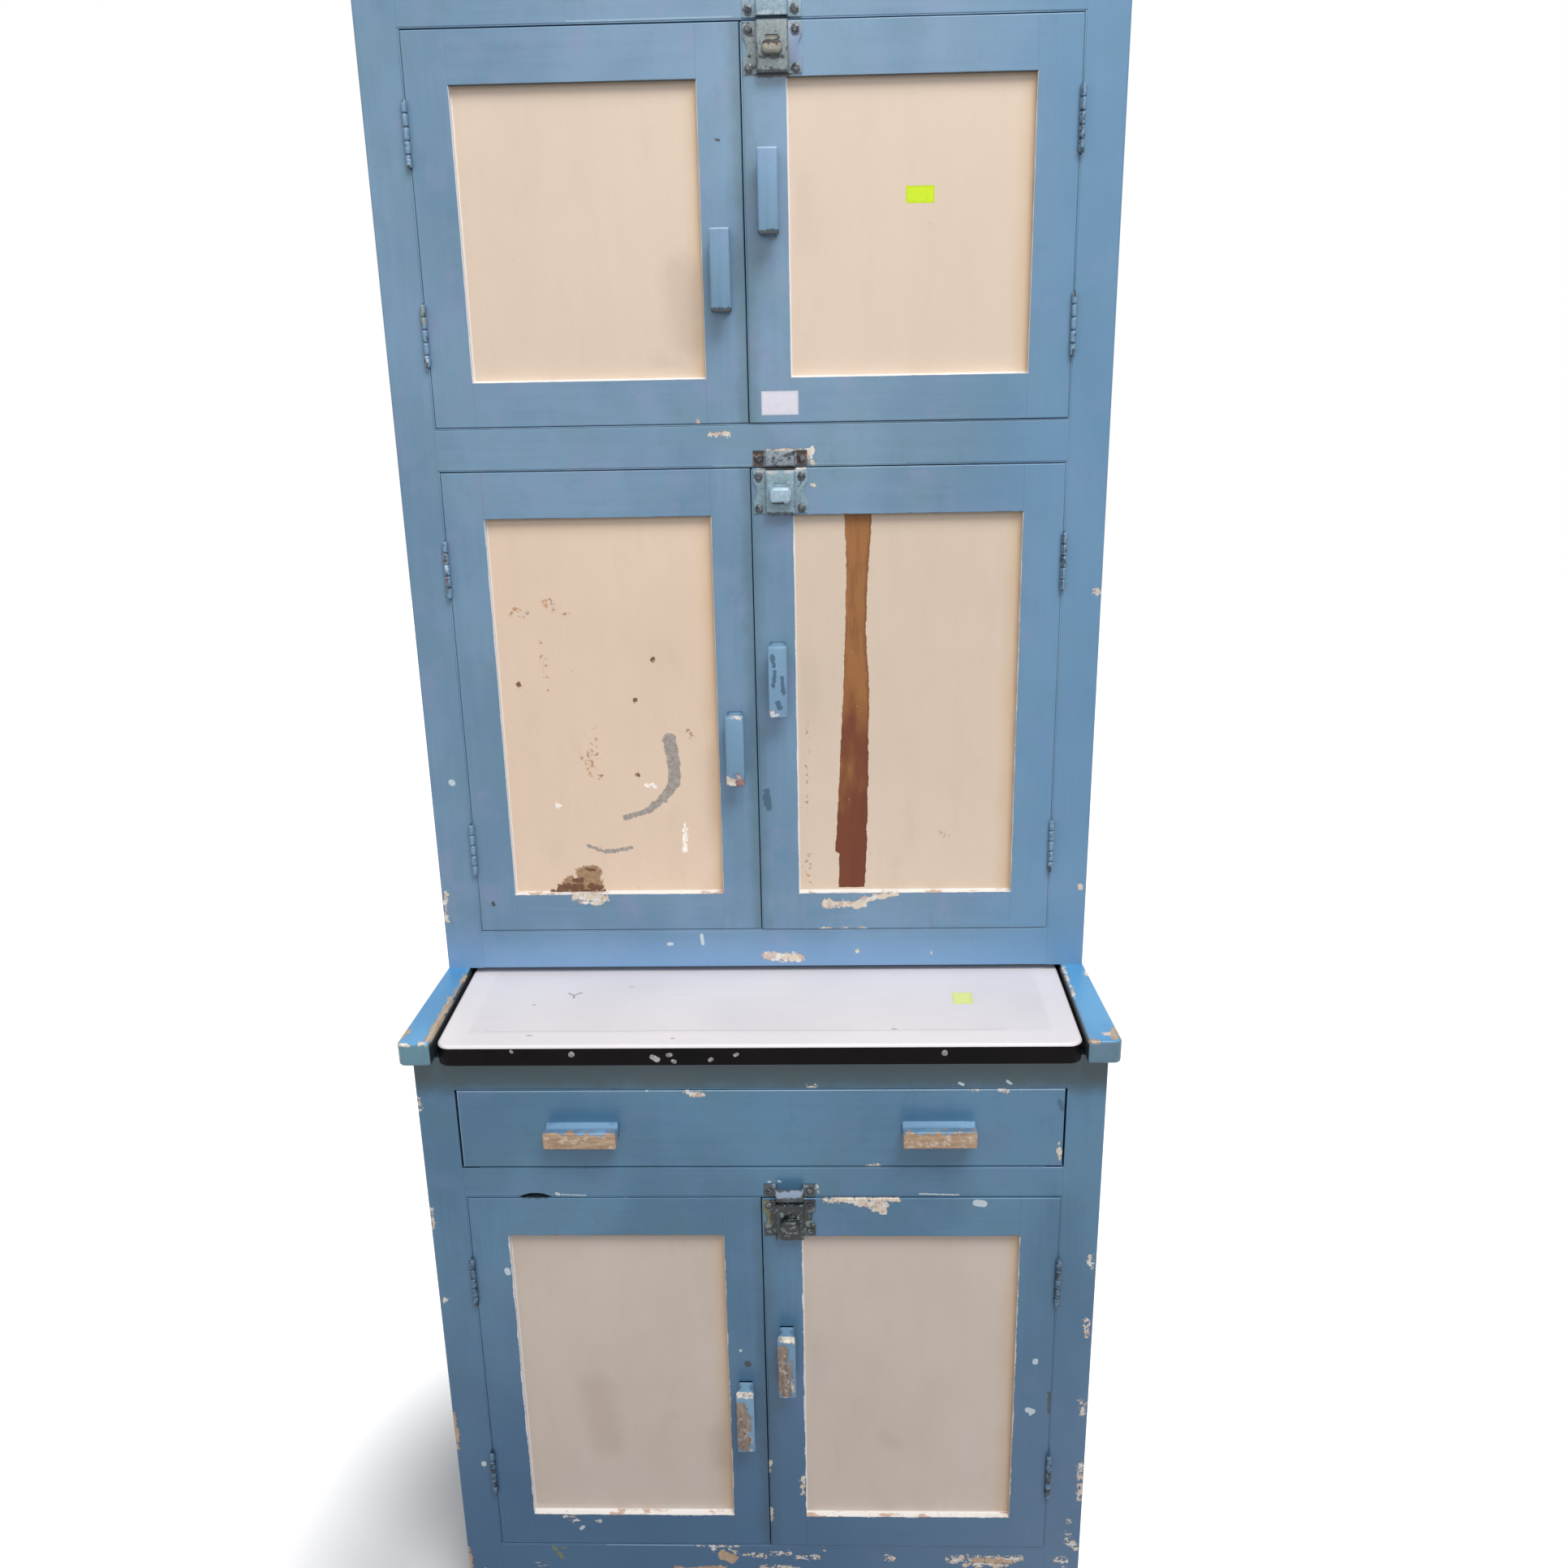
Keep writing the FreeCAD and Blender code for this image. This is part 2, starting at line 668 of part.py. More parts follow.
def door_parts():
    nodes = {"hinge_frame_leaves": [], "hinge_pins": []}
    for row_name, row in rows.items():
        for side, sign in (("left", -1), ("right", 1)):
            name = row_name + "_" + side
            place = mirrored if sign < 0 else (lambda shape: shape)
            face = row["face"] - (right_door_proud if sign > 0 else 0)
            holes = []
            if sign > 0:
                seat = face - catch_sheet
                holes = [screw_hole(x, seat, z) for x, z in catch_screws(case_bottom(row), catch_height)]
            nodes[name + "_door_frame"] = [place(board) for board in door_frame(row, face, holes)]
            nodes[name + "_door_panel"] = [place(door_panel(row, face))]
            handle = pull(door_meet + pull_inset, face, row["bottom"] + pull_heights[name])
            nodes[name + "_door_pull"] = [place(handle)]
            leaves = []
            for middle_z in (row["bottom"] + row["hinge_inset"],
                             row["bottom"] + row["height"] - row["hinge_inset"]):
                frame_leaf, door_leaf, pin = hinge(middle_z, face)
                nodes["hinge_frame_leaves"].append(place(frame_leaf))
                nodes["hinge_pins"].append(place(pin))
                leaves.append(place(door_leaf))
            nodes[name + "_door_hinge_leaves"] = leaves
            if sign > 0:
                nodes[row_name + "_catch_case"] = catch_case(row, face)
                nodes[row_name + "_catch_bolt"] = [catch_bolt(row, face)]
    return nodes


def all_nodes():
    arm = side_arm()
    nodes = {
        "side_arm_right": [arm],
        "side_arm_left": [mirrored(arm)],
        "door_stops": door_stops(),
        "catch_keepers": keepers(),
    }
    groups = (base_parts, worktop_parts, drawer_parts, hutch_parts, shelf_parts, door_parts)
    for parts_of in groups:
        nodes.update(parts_of())
    return nodes


os.makedirs("parts", exist_ok=True)
for node_name, solids in all_nodes().items():
    shape = solids[0] if len(solids) == 1 else Part.makeCompound(solids)
    shape.exportStep("parts/" + node_name + ".step")
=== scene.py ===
import bmesh
import bpy
import numpy as np
from math import radians
from mathutils import Matrix, Vector


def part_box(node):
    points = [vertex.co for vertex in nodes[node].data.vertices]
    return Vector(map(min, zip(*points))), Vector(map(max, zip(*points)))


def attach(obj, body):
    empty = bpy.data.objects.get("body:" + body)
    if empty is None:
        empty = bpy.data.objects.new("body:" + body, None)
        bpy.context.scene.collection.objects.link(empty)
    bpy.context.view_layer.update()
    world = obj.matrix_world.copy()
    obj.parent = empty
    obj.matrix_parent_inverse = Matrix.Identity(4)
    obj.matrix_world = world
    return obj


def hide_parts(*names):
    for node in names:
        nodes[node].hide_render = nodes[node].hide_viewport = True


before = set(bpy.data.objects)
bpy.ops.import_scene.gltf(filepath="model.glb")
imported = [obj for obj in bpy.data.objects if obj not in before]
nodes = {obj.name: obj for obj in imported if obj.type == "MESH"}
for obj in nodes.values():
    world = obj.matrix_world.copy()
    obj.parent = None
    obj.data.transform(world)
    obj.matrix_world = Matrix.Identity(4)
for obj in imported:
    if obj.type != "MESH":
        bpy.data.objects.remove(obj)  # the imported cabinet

scene = bpy.context.scene
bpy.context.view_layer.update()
mm = 0.001
print("cabinet loaded:", len(nodes), "nodes")

cameraSettings = {
    "place": (0.07589, -1.55462, 1.53182),
    "turn": -1.7665, "tip": 17.9675, "roll": -1.1153,  # degrees
    "lens": 31.958, "sensor": 36,
}


def placeCamera(settings):
    turn, tip, roll = (radians(settings[key]) for key in ("turn", "tip", "roll"))
    ahead = Vector((np.sin(turn) * np.cos(tip), np.cos(turn) * np.cos(tip), -np.sin(tip)))
    right = Vector((np.cos(turn), -np.sin(turn), 0))
    up = right.cross(ahead)
    across = right * np.cos(roll) + up * np.sin(roll)
    upward = up * np.cos(roll) - right * np.sin(roll)
    data = bpy.data.cameras.new("camera")
    data.lens, data.sensor_width = settings["lens"], settings["sensor"]
    camera = bpy.data.objects.new("camera", data)
    scene.collection.objects.link(camera)
    camera.matrix_world = Matrix.LocRotScale(
        Vector(settings["place"]),
        Matrix((across, upward, -ahead)).transposed().to_quaternion(), None)
    scene.camera = camera


placeCamera(cameraSettings)

lampSettings = {
    "main": {"place": (1.1, -2.5, 5.2), "aim": (0, -0.1, 1.0), "size": 2.6, "power": 208},
    "front": {"place": (0.1, -3.1, 2.0), "aim": (0, 0, 1.0), "size": 1.8, "power": 16},
    "fill": {"place": (-2.4, -2.4, 3.4), "aim": (0, 0, 1.0), "size": 2.6, "power": 22},
}
# where it is looked at, the floor glows, but little near shadowMiddle beside the cabinet's left side, which
# paints a soft shade there on top of the real shadow; it bounces little light
roomSettings = {
    "fill": 0.34, "fillBlue": 1.06, "floorSize": 14, "floorColour": 0.62, "fleck": 0.02, "bounce": 0.30,
    "nearGlow": 0.04, "farGlow": 1.0, "reach": (0.22, 0.62), "shadowMiddle": (-0.25, -0.15, 0),
}


def placeLamp(name, place, aim, size, power):
    data = bpy.data.lights.new(name, "AREA")
    data.shape = "DISK"
    data.size = size
    data.energy = power
    lamp = bpy.data.objects.new(name, data)
    scene.collection.objects.link(lamp)
    lamp.location = place
    lamp.rotation_euler = (Vector(aim) - Vector(place)).to_track_quat("-Z", "Y").to_euler()


for name, settings in lampSettings.items():
    placeLamp(name + "Lamp", **settings)

# Materials are sums of fields. A field is a number, a place or a colour worked out at every point of a
# surface, and each sum adds a node to the tree in work.
inWork = {}


class Field:
    def __init__(self, socket):
        self.socket = socket

    def __add__(self, other):
        return reckon("ADD", self, other)

    def __sub__(self, other):
        return reckon("SUBTRACT", self, other)

    def __rsub__(self, other):
        return reckon("SUBTRACT", other, self)

    def __mul__(self, other):
        return reckon("MULTIPLY", self, other)

    def __abs__(self):
        return reckon("ABSOLUTE", self)


def feed(made, values):
    for key, value in values.items():
        if isinstance(value, Field):
            inWork["tree"].links.new(value.socket, made.inputs[key])
        else:
            made.inputs[key].default_value = value


def addNode(kind, values=None, **choices):
    made = inWork["tree"].nodes.new(kind)
    for key, choice in choices.items():
        setattr(made, key, choice)
    feed(made, values or {})
    return made


def field(kind, values=None, output=0, **choices):
    return Field(addNode(kind, values, **choices).outputs[output])


def reckon(job, *terms):
    return field("ShaderNodeMath", dict(enumerate(terms)), operation=job)


def greater(first, second):
    return reckon("MAXIMUM", first, second)


def lesser(first, second):
    return reckon("MINIMUM", first, second)


def vectorSum(job, first, second=(0, 0, 0), scale=1.0):
    output = 1 if job in ("DISTANCE", "DOT_PRODUCT") else 0
    return field("ShaderNodeVectorMath", {0: first, 1: second, 3: scale}, output, operation=job)


def step(value, low, high):
    # a smooth rise from 0 at low to 1 at high; low may be the larger of the two
    return field("ShaderNodeMapRange", {0: value, 1: low, 2: high}, interpolation_type="SMOOTHSTEP")


def blend(amount, below, above):
    below, above = (tint if isinstance(tint, Field) else (*tint, 1) for tint in (below, above))
    return field("ShaderNodeMix", {0: amount, 6: below, 7: above}, 2, data_type="RGBA")


def layered(colour, *layers):
    # each layer is where it lies, how thickly, and its colour
    for where, amount, tint in layers:
        colour = blend(where * amount, colour, tint)
    return colour


def shade(tint, *parts):
    # the colour times one part, or its red, green and blue times a part each
    return tuple(np.array(tint) * parts)


def place():
    return field("ShaderNodeTexCoord", output="Object")


def spots():
    # x, y and z in millimetres
    return [Field(part) * (1 / mm) for part in addNode("ShaderNodeSeparateXYZ", {0: place()}).outputs]


def clouds(size, detail=3.0, stretch=(1, 1, 1), rough=0.5, shift=(0, 0, 0)):
    # noise with features about size millimetres across, drawn out where stretch is small
    scale = [1 / mm / size * part for part in stretch]
    moved = field("ShaderNodeMapping", {0: place(), 1: shift, 3: scale})
    return field("ShaderNodeTexNoise", {0: moved, "Scale": 1.0, "Detail": detail, "Roughness": rough})


def stray(amount, *size, **how):
    # the same noise, times the amount, with its middle at 0
    return reckon("MULTIPLY_ADD", clouds(*size, **how), amount, -amount / 2)


def buildStroke():
    # how far a place is from a short straight stroke, less the stroke's half width,
    # or the nearest that came in, whichever is less
    tree = inWork["tree"] = bpy.data.node_groups.new("strokeDistance", "ShaderNodeTree")
    kinds = {"Place": "Vector", "Start": "Vector", "Run": "Vector", "Length": "Float", "Radius": "Float",
             "Nearest": "Float"}
    for name, kind in kinds.items():
        tree.interface.new_socket(name, in_out="INPUT", socket_type="NodeSocket" + kind)
    tree.interface.new_socket("Nearest", in_out="OUTPUT", socket_type="NodeSocketFloat")
    came = addNode("NodeGroupInput").outputs
    spot, start, run, length, radius, nearest = (Field(came[name]) for name in kinds)
    away = vectorSum("SUBTRACT", spot, start)
    along = lesser(greater(vectorSum("DOT_PRODUCT", away, run), 0.0), length)
    off = vectorSum("DISTANCE", away, vectorSum("SCALE", run, scale=along)) - radius
    addNode("NodeGroupOutput", {0: lesser(off, nearest)})
    return tree


strokeDistance = buildStroke()


def strokes(marks, plane="xz"):
    # marks are (x, z, x, z, half width), or (x, z, half width) for a dot; all, and the answer, in millimetres
    def lay(across, up):
        return (across, 0, up) if plane == "xz" else (across, up, 0)

    flat = vectorSum("SCALE", vectorSum("MULTIPLY", place(), lay(1, 1)), scale=1 / mm)
    nearest = 1e4
    for x0, z0, *end, radius in marks:
        x1, z1 = end or (x0, z0 - 1)
        length = max(float(np.hypot(x1 - x0, z1 - z0)), 1e-3)
        nearest = field("ShaderNodeGroup", {
            "Place": flat, "Start": lay(x0, z0), "Run": lay((x1 - x0) / length, (z1 - z0) / length),
            "Length": length, "Radius": radius, "Nearest": nearest}, node_tree=strokeDistance)
    return nearest


def marked(marks, ragged, soft, plane="xz"):
    # 1 on the marks and 0 off them, with ragged edges
    return step(strokes(marks, plane) + ragged, soft, -soft)


def frameDistance(x, z, halfWide, halfTall, plane="xz"):
    # how far a place is outside a rectangle, in millimetres, and less than nothing inside it
    places = dict(zip("xyz", spots()))
    across, up = (places[axis] for axis in plane)
    return greater(abs(across - x) - halfWide, abs(up - z) - halfTall)


def newMaterial(name):
    material = bpy.data.materials.new(name)
    material.use_nodes = True
    inWork["tree"] = material.node_tree
    return material


def finishSurface(material, colour, rough, bump, depth, fixed=None):
    # fixed holds plain values for the shader's own sockets
    raised = field("ShaderNodeBump", {"Height": bump, "Distance": depth * mm, "Strength": 1.0})
    feed(material.node_tree.nodes["Principled BSDF"],
         {"Base Color": colour, "Roughness": rough, "Normal": raised, **(fixed or {})})
    return material


# blue paint, light and dark, and what shows where it is chipped or marked; the base's tones are set darker
# than the hutch's as painted shade for the lower light the base gets
blueTones = {
    "hutch": ((0.164, 0.284, 0.415), (0.110, 0.212, 0.322)),
    "base": ((0.077, 0.192, 0.312), (0.049, 0.133, 0.226)),
    # arms is the tone of the arms' level tops, a lit copy of nose, the tone of their upright faces: a painted
    # sky reflection
    "arms": ((0.086, 0.325, 0.600), (0.062, 0.250, 0.490)),
    "nose": ((0.105, 0.235, 0.290), (0.070, 0.155, 0.225)),
    "pulls": ((0.178, 0.325, 0.485), (0.115, 0.225, 0.345)),
}
chipTones = {
    "cream": (0.66, 0.565, 0.45), "white": (0.74, 0.725, 0.70), "pink": (0.53, 0.41, 0.36),
    "tan": (0.40, 0.26, 0.155), "wood": (0.52, 0.375, 0.25), "dark": (0.018, 0.020, 0.022),
    "old": (0.026, 0.085, 0.140), "moss": (0.165, 0.190, 0.085), "thinnedAndLit": (0.33, 0.47, 0.55),
    "dabs": (0.56, 0.64, 0.68),
}
bareTones = tuple(chipTones[kind] for kind in ("tan", "wood", "pink"))
# each kind of mark: how uneven and how soft its edge is, and how thickly it covers; a thinned edge line is
# partly paint worn thin and partly a painted highlight where the edge catches the light;
# dark marks are dark spots, and also painted shade in the gaps round the catches, under the pulls and in the
# worn notch; and dabs are small smooth drops of pale paint
markKinds = {
    "old": (1.0, 0.5, 0.9), "moss": (1.0, 0.5, 0.9), "dark": (1.0, 0.5, 0.9), "thinnedAndLit": (0.12, 0.5, 0.55),
    "dabs": (0.3, 0.6, 0.9),
}
grain = {"x": (0.06, 1, 1), "y": (1, 0.06, 1), "z": (1, 1, 0.06)}


def paleChips():
    # old cream paint in the chips, with white, pinkish and bare wood parts
    return layered(
        chipTones["cream"], (step(clouds(8, 3), 0.46, 0.62), 1, chipTones["white"]),
        (step(clouds(12, 3, shift=(4, 4, 4)), 0.52, 0.66), 1, chipTones["pink"]),
        (step(clouds(5, 4, rough=0.7, shift=(2, 8, 4)), 0.60, 0.68), 1, chipTones["tan"]))


def levelTop(side, base, level):
    # a second tone where the surface lies level, a lit copy that paints the sky's reflection on the tops,
    # duller towards the sides, and a dark inner side, painted shade in the gap beside the enamel
    other, middle, half, inner = level
    x = spots()[0]
    upward = field("ShaderNodeSeparateXYZ", {0: field("ShaderNodeTexCoord", output="Normal")}, 2)
    off = abs(x - middle) - half + stray(14, 18, 4, rough=0.65)
    top = layered(blend(base, *blueTones[other]), (step(off, -8, 1), 0.70, (0.185, 0.315, 0.445)))
    return layered(side, (step(upward, 0.45, 0.8), 1, top),
                   (step(abs(x), inner + 1.0, inner + 0.4), 0.93, chipTones["dark"]))


def openingEdge(colour, opening, wear, under):
    # thin bare edges round a door's opening: pale at the left, a painted highlight where that reveal catches
    # the light, dirty along the foot, and dark along the top, painted shade on the rail's underside
    middleX, middleZ, _, halfZ = opening
    x, z = spots()[::2]
    foot, top = middleZ - halfZ, middleZ + halfZ
    patchy = step(clouds(24, 4, rough=0.7, shift=(5, 2, 7)), 0.44, 0.64)
    width = patchy * (3.4 * wear) + 0.35 + stray(5.5 * wear, 4, 4, rough=0.75)
    dirty = step(clouds(16, 4, (0.5, 1, 1), 0.7, (3, 8, 1)), 0.56 - 0.1 * wear, 0.62 - 0.1 * wear)
    warm = layered(
        blend(step(clouds(30, 3), 0.35, 0.65), (0.58, 0.45, 0.32), (0.72, 0.65, 0.56)),
        (step(x, middleX + 1, middleX - 1), 1, (0.80, 0.78, 0.79)),
        (step(z, foot + 3, foot + 1), 1, blend(dirty, (0.82, 0.79, 0.74), (0.55, 0.38, 0.29))),
        (step(z, top - 1.2, top - 0.2), 1, under))
    return layered(colour, (step(frameDistance(*opening) - width, 0.3, -0.3), 0.92, warm))


def rubbedOutline(colour, outline, wear, front):
    # bare wood and old paint along the outer edges
    reach = 16 * wear + 4
    patchy = clouds(34, 5, rough=0.78, shift=(1, 9, 4)) * reach - reach * (0.72 - 0.20 * wear)
    woody = step(clouds(16, 3, shift=(8, 1, 1)), 0.40, 0.58)
    return layered(colour, (step(frameDistance(*outline) + patchy, -0.5, 0.3), front,
                            blend(woody, chipTones["cream"], chipTones["tan"])))


def stickLabel(colour, rough, front, x, z, halfWide, halfTall, tint, plane="xz"):
    # a small blank paper label, a little yellowed towards its edges
    off = frameDistance(x, z, halfWide, halfTall, plane)
    cover = step(off, 0.25, -0.25) * front
    crumple = step(clouds(6, 3, shift=(1, 1, 9)), 0.45, 0.75)
    paper = layered(tint, (step(off, -3.0, 0.0), 1, shade(tint, 0.86)), (crumple, 0.2, shade(tint, 0.7)))
    return blend(cover, colour, paper), cover * 0.3 + rough


def bluePaint(name, tone="hutch", face=None, rails=None, along="z", opening=None, outline=None, edgeWear=0.35,
              specks=0.0, scuffBelow=None, level=None, brighter=None, graded=(), label=None, plane="xz",
              wornTones=bareTones, broken=0.0, chips=(), worn=(), **marks):
    # brushed gloss paint: streaks follow the boards, cream shows where it is chipped, and wood under that
    material = newMaterial(name)
    light, deep = blueTones[tone]
    x, y, z = spots()
    streaks = clouds(7, 3, grain[along], 0.6)
    if rails:  # the middle and half width within which the boards lie across
        inside = frameDistance(rails[0], 0, rails[1], 1e5)
        streaks = field("ShaderNodeMix", {0: step(inside, 0.3, -0.3), 2: streaks,
                                          3: clouds(7, 3, grain["x"], 0.6)})
    mixed = step(clouds(190, 3, (1, 1, 0.7)), 0.3, 0.7) * 0.60 + streaks * 0.38
    base = step(mixed, 0.2, 0.85)
    mottle = step(clouds(60, 4, rough=0.65, shift=(3, 1, 2)), 0.42, 0.72)
    colour = layered(
        blend(base, light, deep), (mottle, 0.34, shade(deep, 1.15, 1.12, 0.82)),
        (step(clouds(44, 4, rough=0.6, shift=(9, 3, 5)), 0.48, 0.74), 0.50, shade(light, 1.25, 0.88, 0.98)),
        (step(clouds(26, 5, (1, 1, 0.6), 0.75, (6, 2, 8)), 0.50, 0.82), 0.30, shade(deep, 0.6)))
    # painted light: the band low on the hutch is made brighter to stand in for light bounced up off the
    # enamel
    if brighter:  # height range over which the paint turns brighter, and how much
        low, high, amount = brighter
        colour = layered(colour, (step(z, high, low), amount, shade(light, 1.15, 1.22, 1.42)))
    if level:
        colour = levelTop(colour, base, level)
    for axis, start, end, amount, tint in graded:  # a tint that grows from one place to another
        spot = x if axis == "x" else z
        colour = layered(colour, (step(spot + stray(20, 30, 4, rough=0.7), start, end), amount, tint))
    if rails:  # a thin dark joint between the boards
        colour = layered(colour, (step(abs(inside), 0.8, 0.2), 0.14, chipTones["dark"]))
    coarse, fine = clouds(10, 5, rough=0.75), clouds(3.2, 4, rough=0.7, shift=(5, 5, 1))
    ragged, smooth = coarse * 20 + fine * 9 - 14.5, fine * 7 - 3.5
    front = 1.0
    if face is not None:  # marks lie on the face only
        front = step(y, face + 9, face + 7) if plane == "xz" else step(z, face - 4.5, face - 1.5)
    pale, lost = paleChips(), 0.0
    if opening:
        # painted shade for the underside of the rail above the opening
        under = (0.16, 0.105, 0.070) if tone == "base" else (0.040, 0.062, 0.080)
        colour = openingEdge(colour, opening, edgeWear, under)
    if outline:
        colour = rubbedOutline(colour, outline, edgeWear, front)
    if specks:
        limit = 0.735 - specks * 0.1
        lost = step(clouds(12, 5, rough=0.8, shift=(2, 2, 2)), limit, limit + 0.015)
        colour = blend(lost, colour, pale)
    if scuffBelow:
        near = step(z, scuffBelow, scuffBelow - 35)
        torn = step(clouds(30, 5, (0.45, 1, 1), 0.78, (3, 7, 2)) + near * 0.13, 0.720, 0.735) * near
        colour, lost = blend(torn, colour, pale), greater(lost, torn)
    if chips:
        chipped = marked(chips, ragged, 0.3, plane) * front
        if broken:  # flakes of paint still stand in the chips
            limit = 0.60 - 0.12 * broken
            chipped = chipped * (1 - step(clouds(7, 4, rough=0.7, shift=(4, 6, 9)), limit, limit + 0.02))
        colour, lost = blend(chipped, colour, pale), greater(lost, chipped)
    if worn:
        gone = marked(worn, ragged, 0.35, plane) * front
        stretch = tuple(0.15 if part < 1 else 1 for part in grain[along])
        bare = layered(blend(step(clouds(4, 4, stretch, 0.7), 0.35, 0.65), *wornTones[:2]),
                       (step(coarse, 0.52, 0.62), 1, wornTones[2]))
        colour, lost = blend(gone, colour, bare), greater(lost, gone)
    for kind, (uneven, soft, amount) in markKinds.items():
        if kind in marks:
            where = marked(marks[kind], smooth * uneven, soft, plane) * (1.0 if kind == "dabs" else front)
            colour = layered(colour, (where, amount, chipTones[kind]))
    rough = mixed * 0.18 + 0.30
    if label:
        colour, rough = stickLabel(colour, rough, front, **label)
    bump = streaks * 0.5 + mottle * 0.25 - (lost * 1.2)
    return finishSurface(material, colour, rough, bump, 0.22, {"Coat Weight": 0.10, "Coat Roughness": 0.28})


# the lower panels' tones are darker and greyer than the upper ones: painted shade for the lower light there
panelTones = {
    "upper": ((0.660, 0.532, 0.415), (0.690, 0.557, 0.440)),
    "warm": ((0.710, 0.550, 0.415), (0.745, 0.580, 0.445)),
    "lower": ((0.575, 0.485, 0.415), (0.620, 0.530, 0.465)),
}
# each kind of stain: how uneven its edge is, how thickly it covers, and its colour
stainKinds = {
    "white": (1.0, 0.8, (0.84, 0.80, 0.74)), "grey": (0.7, 0.92, (0.225, 0.205, 0.185)),
    "tan": (1.0, 0.93, (0.225, 0.128, 0.058)), "brown": (1.0, 0.95, (0.085, 0.029, 0.008)),
}
stripSettings = {
    # left and right edges at each height, from the top down
    "heights": (1344, 1284, 1212, 1147, 1051, 952, 949, 910),
    "left": (100, 102, 100, 98, 93, 88, 92, 91),
    "right": (130, 126, 123, 127, 126, 124, 124, 122),
    "span": (80, 60),  # where the curves start across, and how far they reach
    "top": (0.31, 0.128, 0.036), "foot": (0.145, 0.035, 0.011), "streaks": (0.115, 0.027, 0.009),
    "redder": 4.5, "end": 906.5,
}


def bareStrip(colour, rough, front, settings):
    # bare brown board where a strip of paint came away: its edges are a curve of height
    x, z = spots()[::2]
    heights, (start, span) = settings["heights"], settings["span"]
    tall = heights[0] - heights[-1]
    up = (z - heights[-1]) * (1 / tall)
    edges = []
    for side in ("left", "right"):
        curve = addNode("ShaderNodeFloatCurve", {1: up})
        line = curve.mapping.curves[0]
        line.points[1].location, *between, line.points[0].location = [
            ((height - heights[-1]) / tall, (across - start) / span)
            for height, across in zip(heights, settings[side])]
        for spot in between:
            line.points.new(*spot)
        for point in line.points:
            point.handle_type = "VECTOR"
        curve.mapping.update()
        edges.append(Field(curve.outputs[0]) * span + start)
    torn = stray(5, 7, 4, (1, 1, 0.5), 0.75)
    cover = step(lesser(x - edges[0], edges[1] - x) + torn, -0.3, 0.3)
    patchy = step(up + stray(0.9, 30, 4, (1, 1, 0.4)), 0.28, 0.62)
    beside = step(edges[1] - x + torn * 2, settings["redder"], 0.5)
    streaks = step(clouds(6, 4, (1, 1, 0.12), 0.7), 0.45, 0.75)
    brown = layered(blend(patchy, settings["foot"], settings["top"]),
                    (greater(streaks, beside), 0.55, settings["streaks"]))
    spared = step(clouds(5, 4, rough=0.75, shift=(1, 5, 3)), 0.70, 0.74)
    ended = step(z + torn * 0.4, settings["end"], settings["end"] + 0.6)
    cover = cover * (1 - spared) * ended * front
    return blend(cover, colour, brown), cover * 0.3 + rough


def creamPaint(name, tone, face, edge, stain=0.0, haze=(), specks=(), label=None, strip=None, **marks):
    # smooth old paint: specks are places strewn with small brown dots, the other marks are filled in whole;
    # a yellowish band along the right side is a painted shadow of the right stile, a brown line along the top
    # is a painted shadow under the top rail, and pale lines at the left and the foot are painted highlights
    # of the lit edges
    material = newMaterial(name)
    low, high = panelTones[tone]
    x, y, z = spots()
    left, right, foot, top = edge[0] - edge[2], edge[0] + edge[2], edge[1] - edge[3], edge[1] + edge[3]
    broad = step(clouds(140, 4, (1, 1, 0.8), 0.6), 0.3, 0.7)
    ragged = stray(12, 8, 4, rough=0.75) + stray(8, 2.6, 4, rough=0.75, shift=(2, 9, 2))
    front = step(y, face + 4, face + 3)
    colour = layered(
        blend(broad, low, high), (step(clouds(5, 4, rough=0.7), 0.52, 0.8), 0.20, shade(high, 1.13)),
        (step(clouds(16, 4, (1, 1, 0.12), 0.65, (2, 2, 6)), 0.45, 0.8), 0.12, shade(low, 0.8)),
        (step(clouds(55, 5, (1, 1, 0.5), 0.7, (6, 3, 1)), 0.50, 0.8), 0.15 + stain, (0.48, 0.34, 0.24)),
        (step(clouds(7, 3, shift=(7, 7, 7)), 0.765, 0.79), 0.45, (0.34, 0.21, 0.13)),
        # painted shadow down the right side and along the top, painted highlights at the left and the foot
        (step(x + stray(16, 60, 3, shift=(4, 2, 2)), right - 22, right), 0.55, (0.58, 0.40, 0.23)),
        (step(ragged * 0.12 + z, top - 5, top - 1.5), 0.5, (0.36, 0.24, 0.14)),
        (greater(step(x, left + 1.5, left + 0.6), step(z, foot + 1.9, foot + 0.8)), 0.75, (0.84, 0.82, 0.81)))
    if haze:
        colour = layered(colour, (step(strokes(haze) + ragged * 1.5, 4, -26), 0.34, (0.42, 0.31, 0.23)))
    if specks:
        near = step(strokes(specks) + ragged * 0.5, 2.0, -6.0)
        dotted = step(clouds(4.4, 3, rough=0.6, shift=(8, 2, 3)) + near * 0.16, 0.70, 0.75) * near
        rusty = blend(step(clouds(9, 2), 0.4, 0.6), (0.55, 0.27, 0.12), (0.26, 0.12, 0.075))
        colour = layered(colour, (dotted * front, 0.8, rusty))
    for kind, (uneven, amount, tint) in stainKinds.items():
        if kind in marks:
            patchy = step(clouds(6, 4, rough=0.7, shift=(9, 1, 5)), 0.35, 0.7)
            colour = layered(colour, (marked(marks[kind], ragged * uneven, 0.7) * front, amount,
                                      blend(patchy, tint, shade(tint, 1.7))))
    rough = broad * 0.12 + 0.34
    if label:
        colour, rough = stickLabel(colour, rough, front, **label)
    if strip:
        colour, rough = bareStrip(colour, rough, front, strip)
    return finishSurface(material, colour, rough, clouds(6, 4, rough=0.6), 0.14)


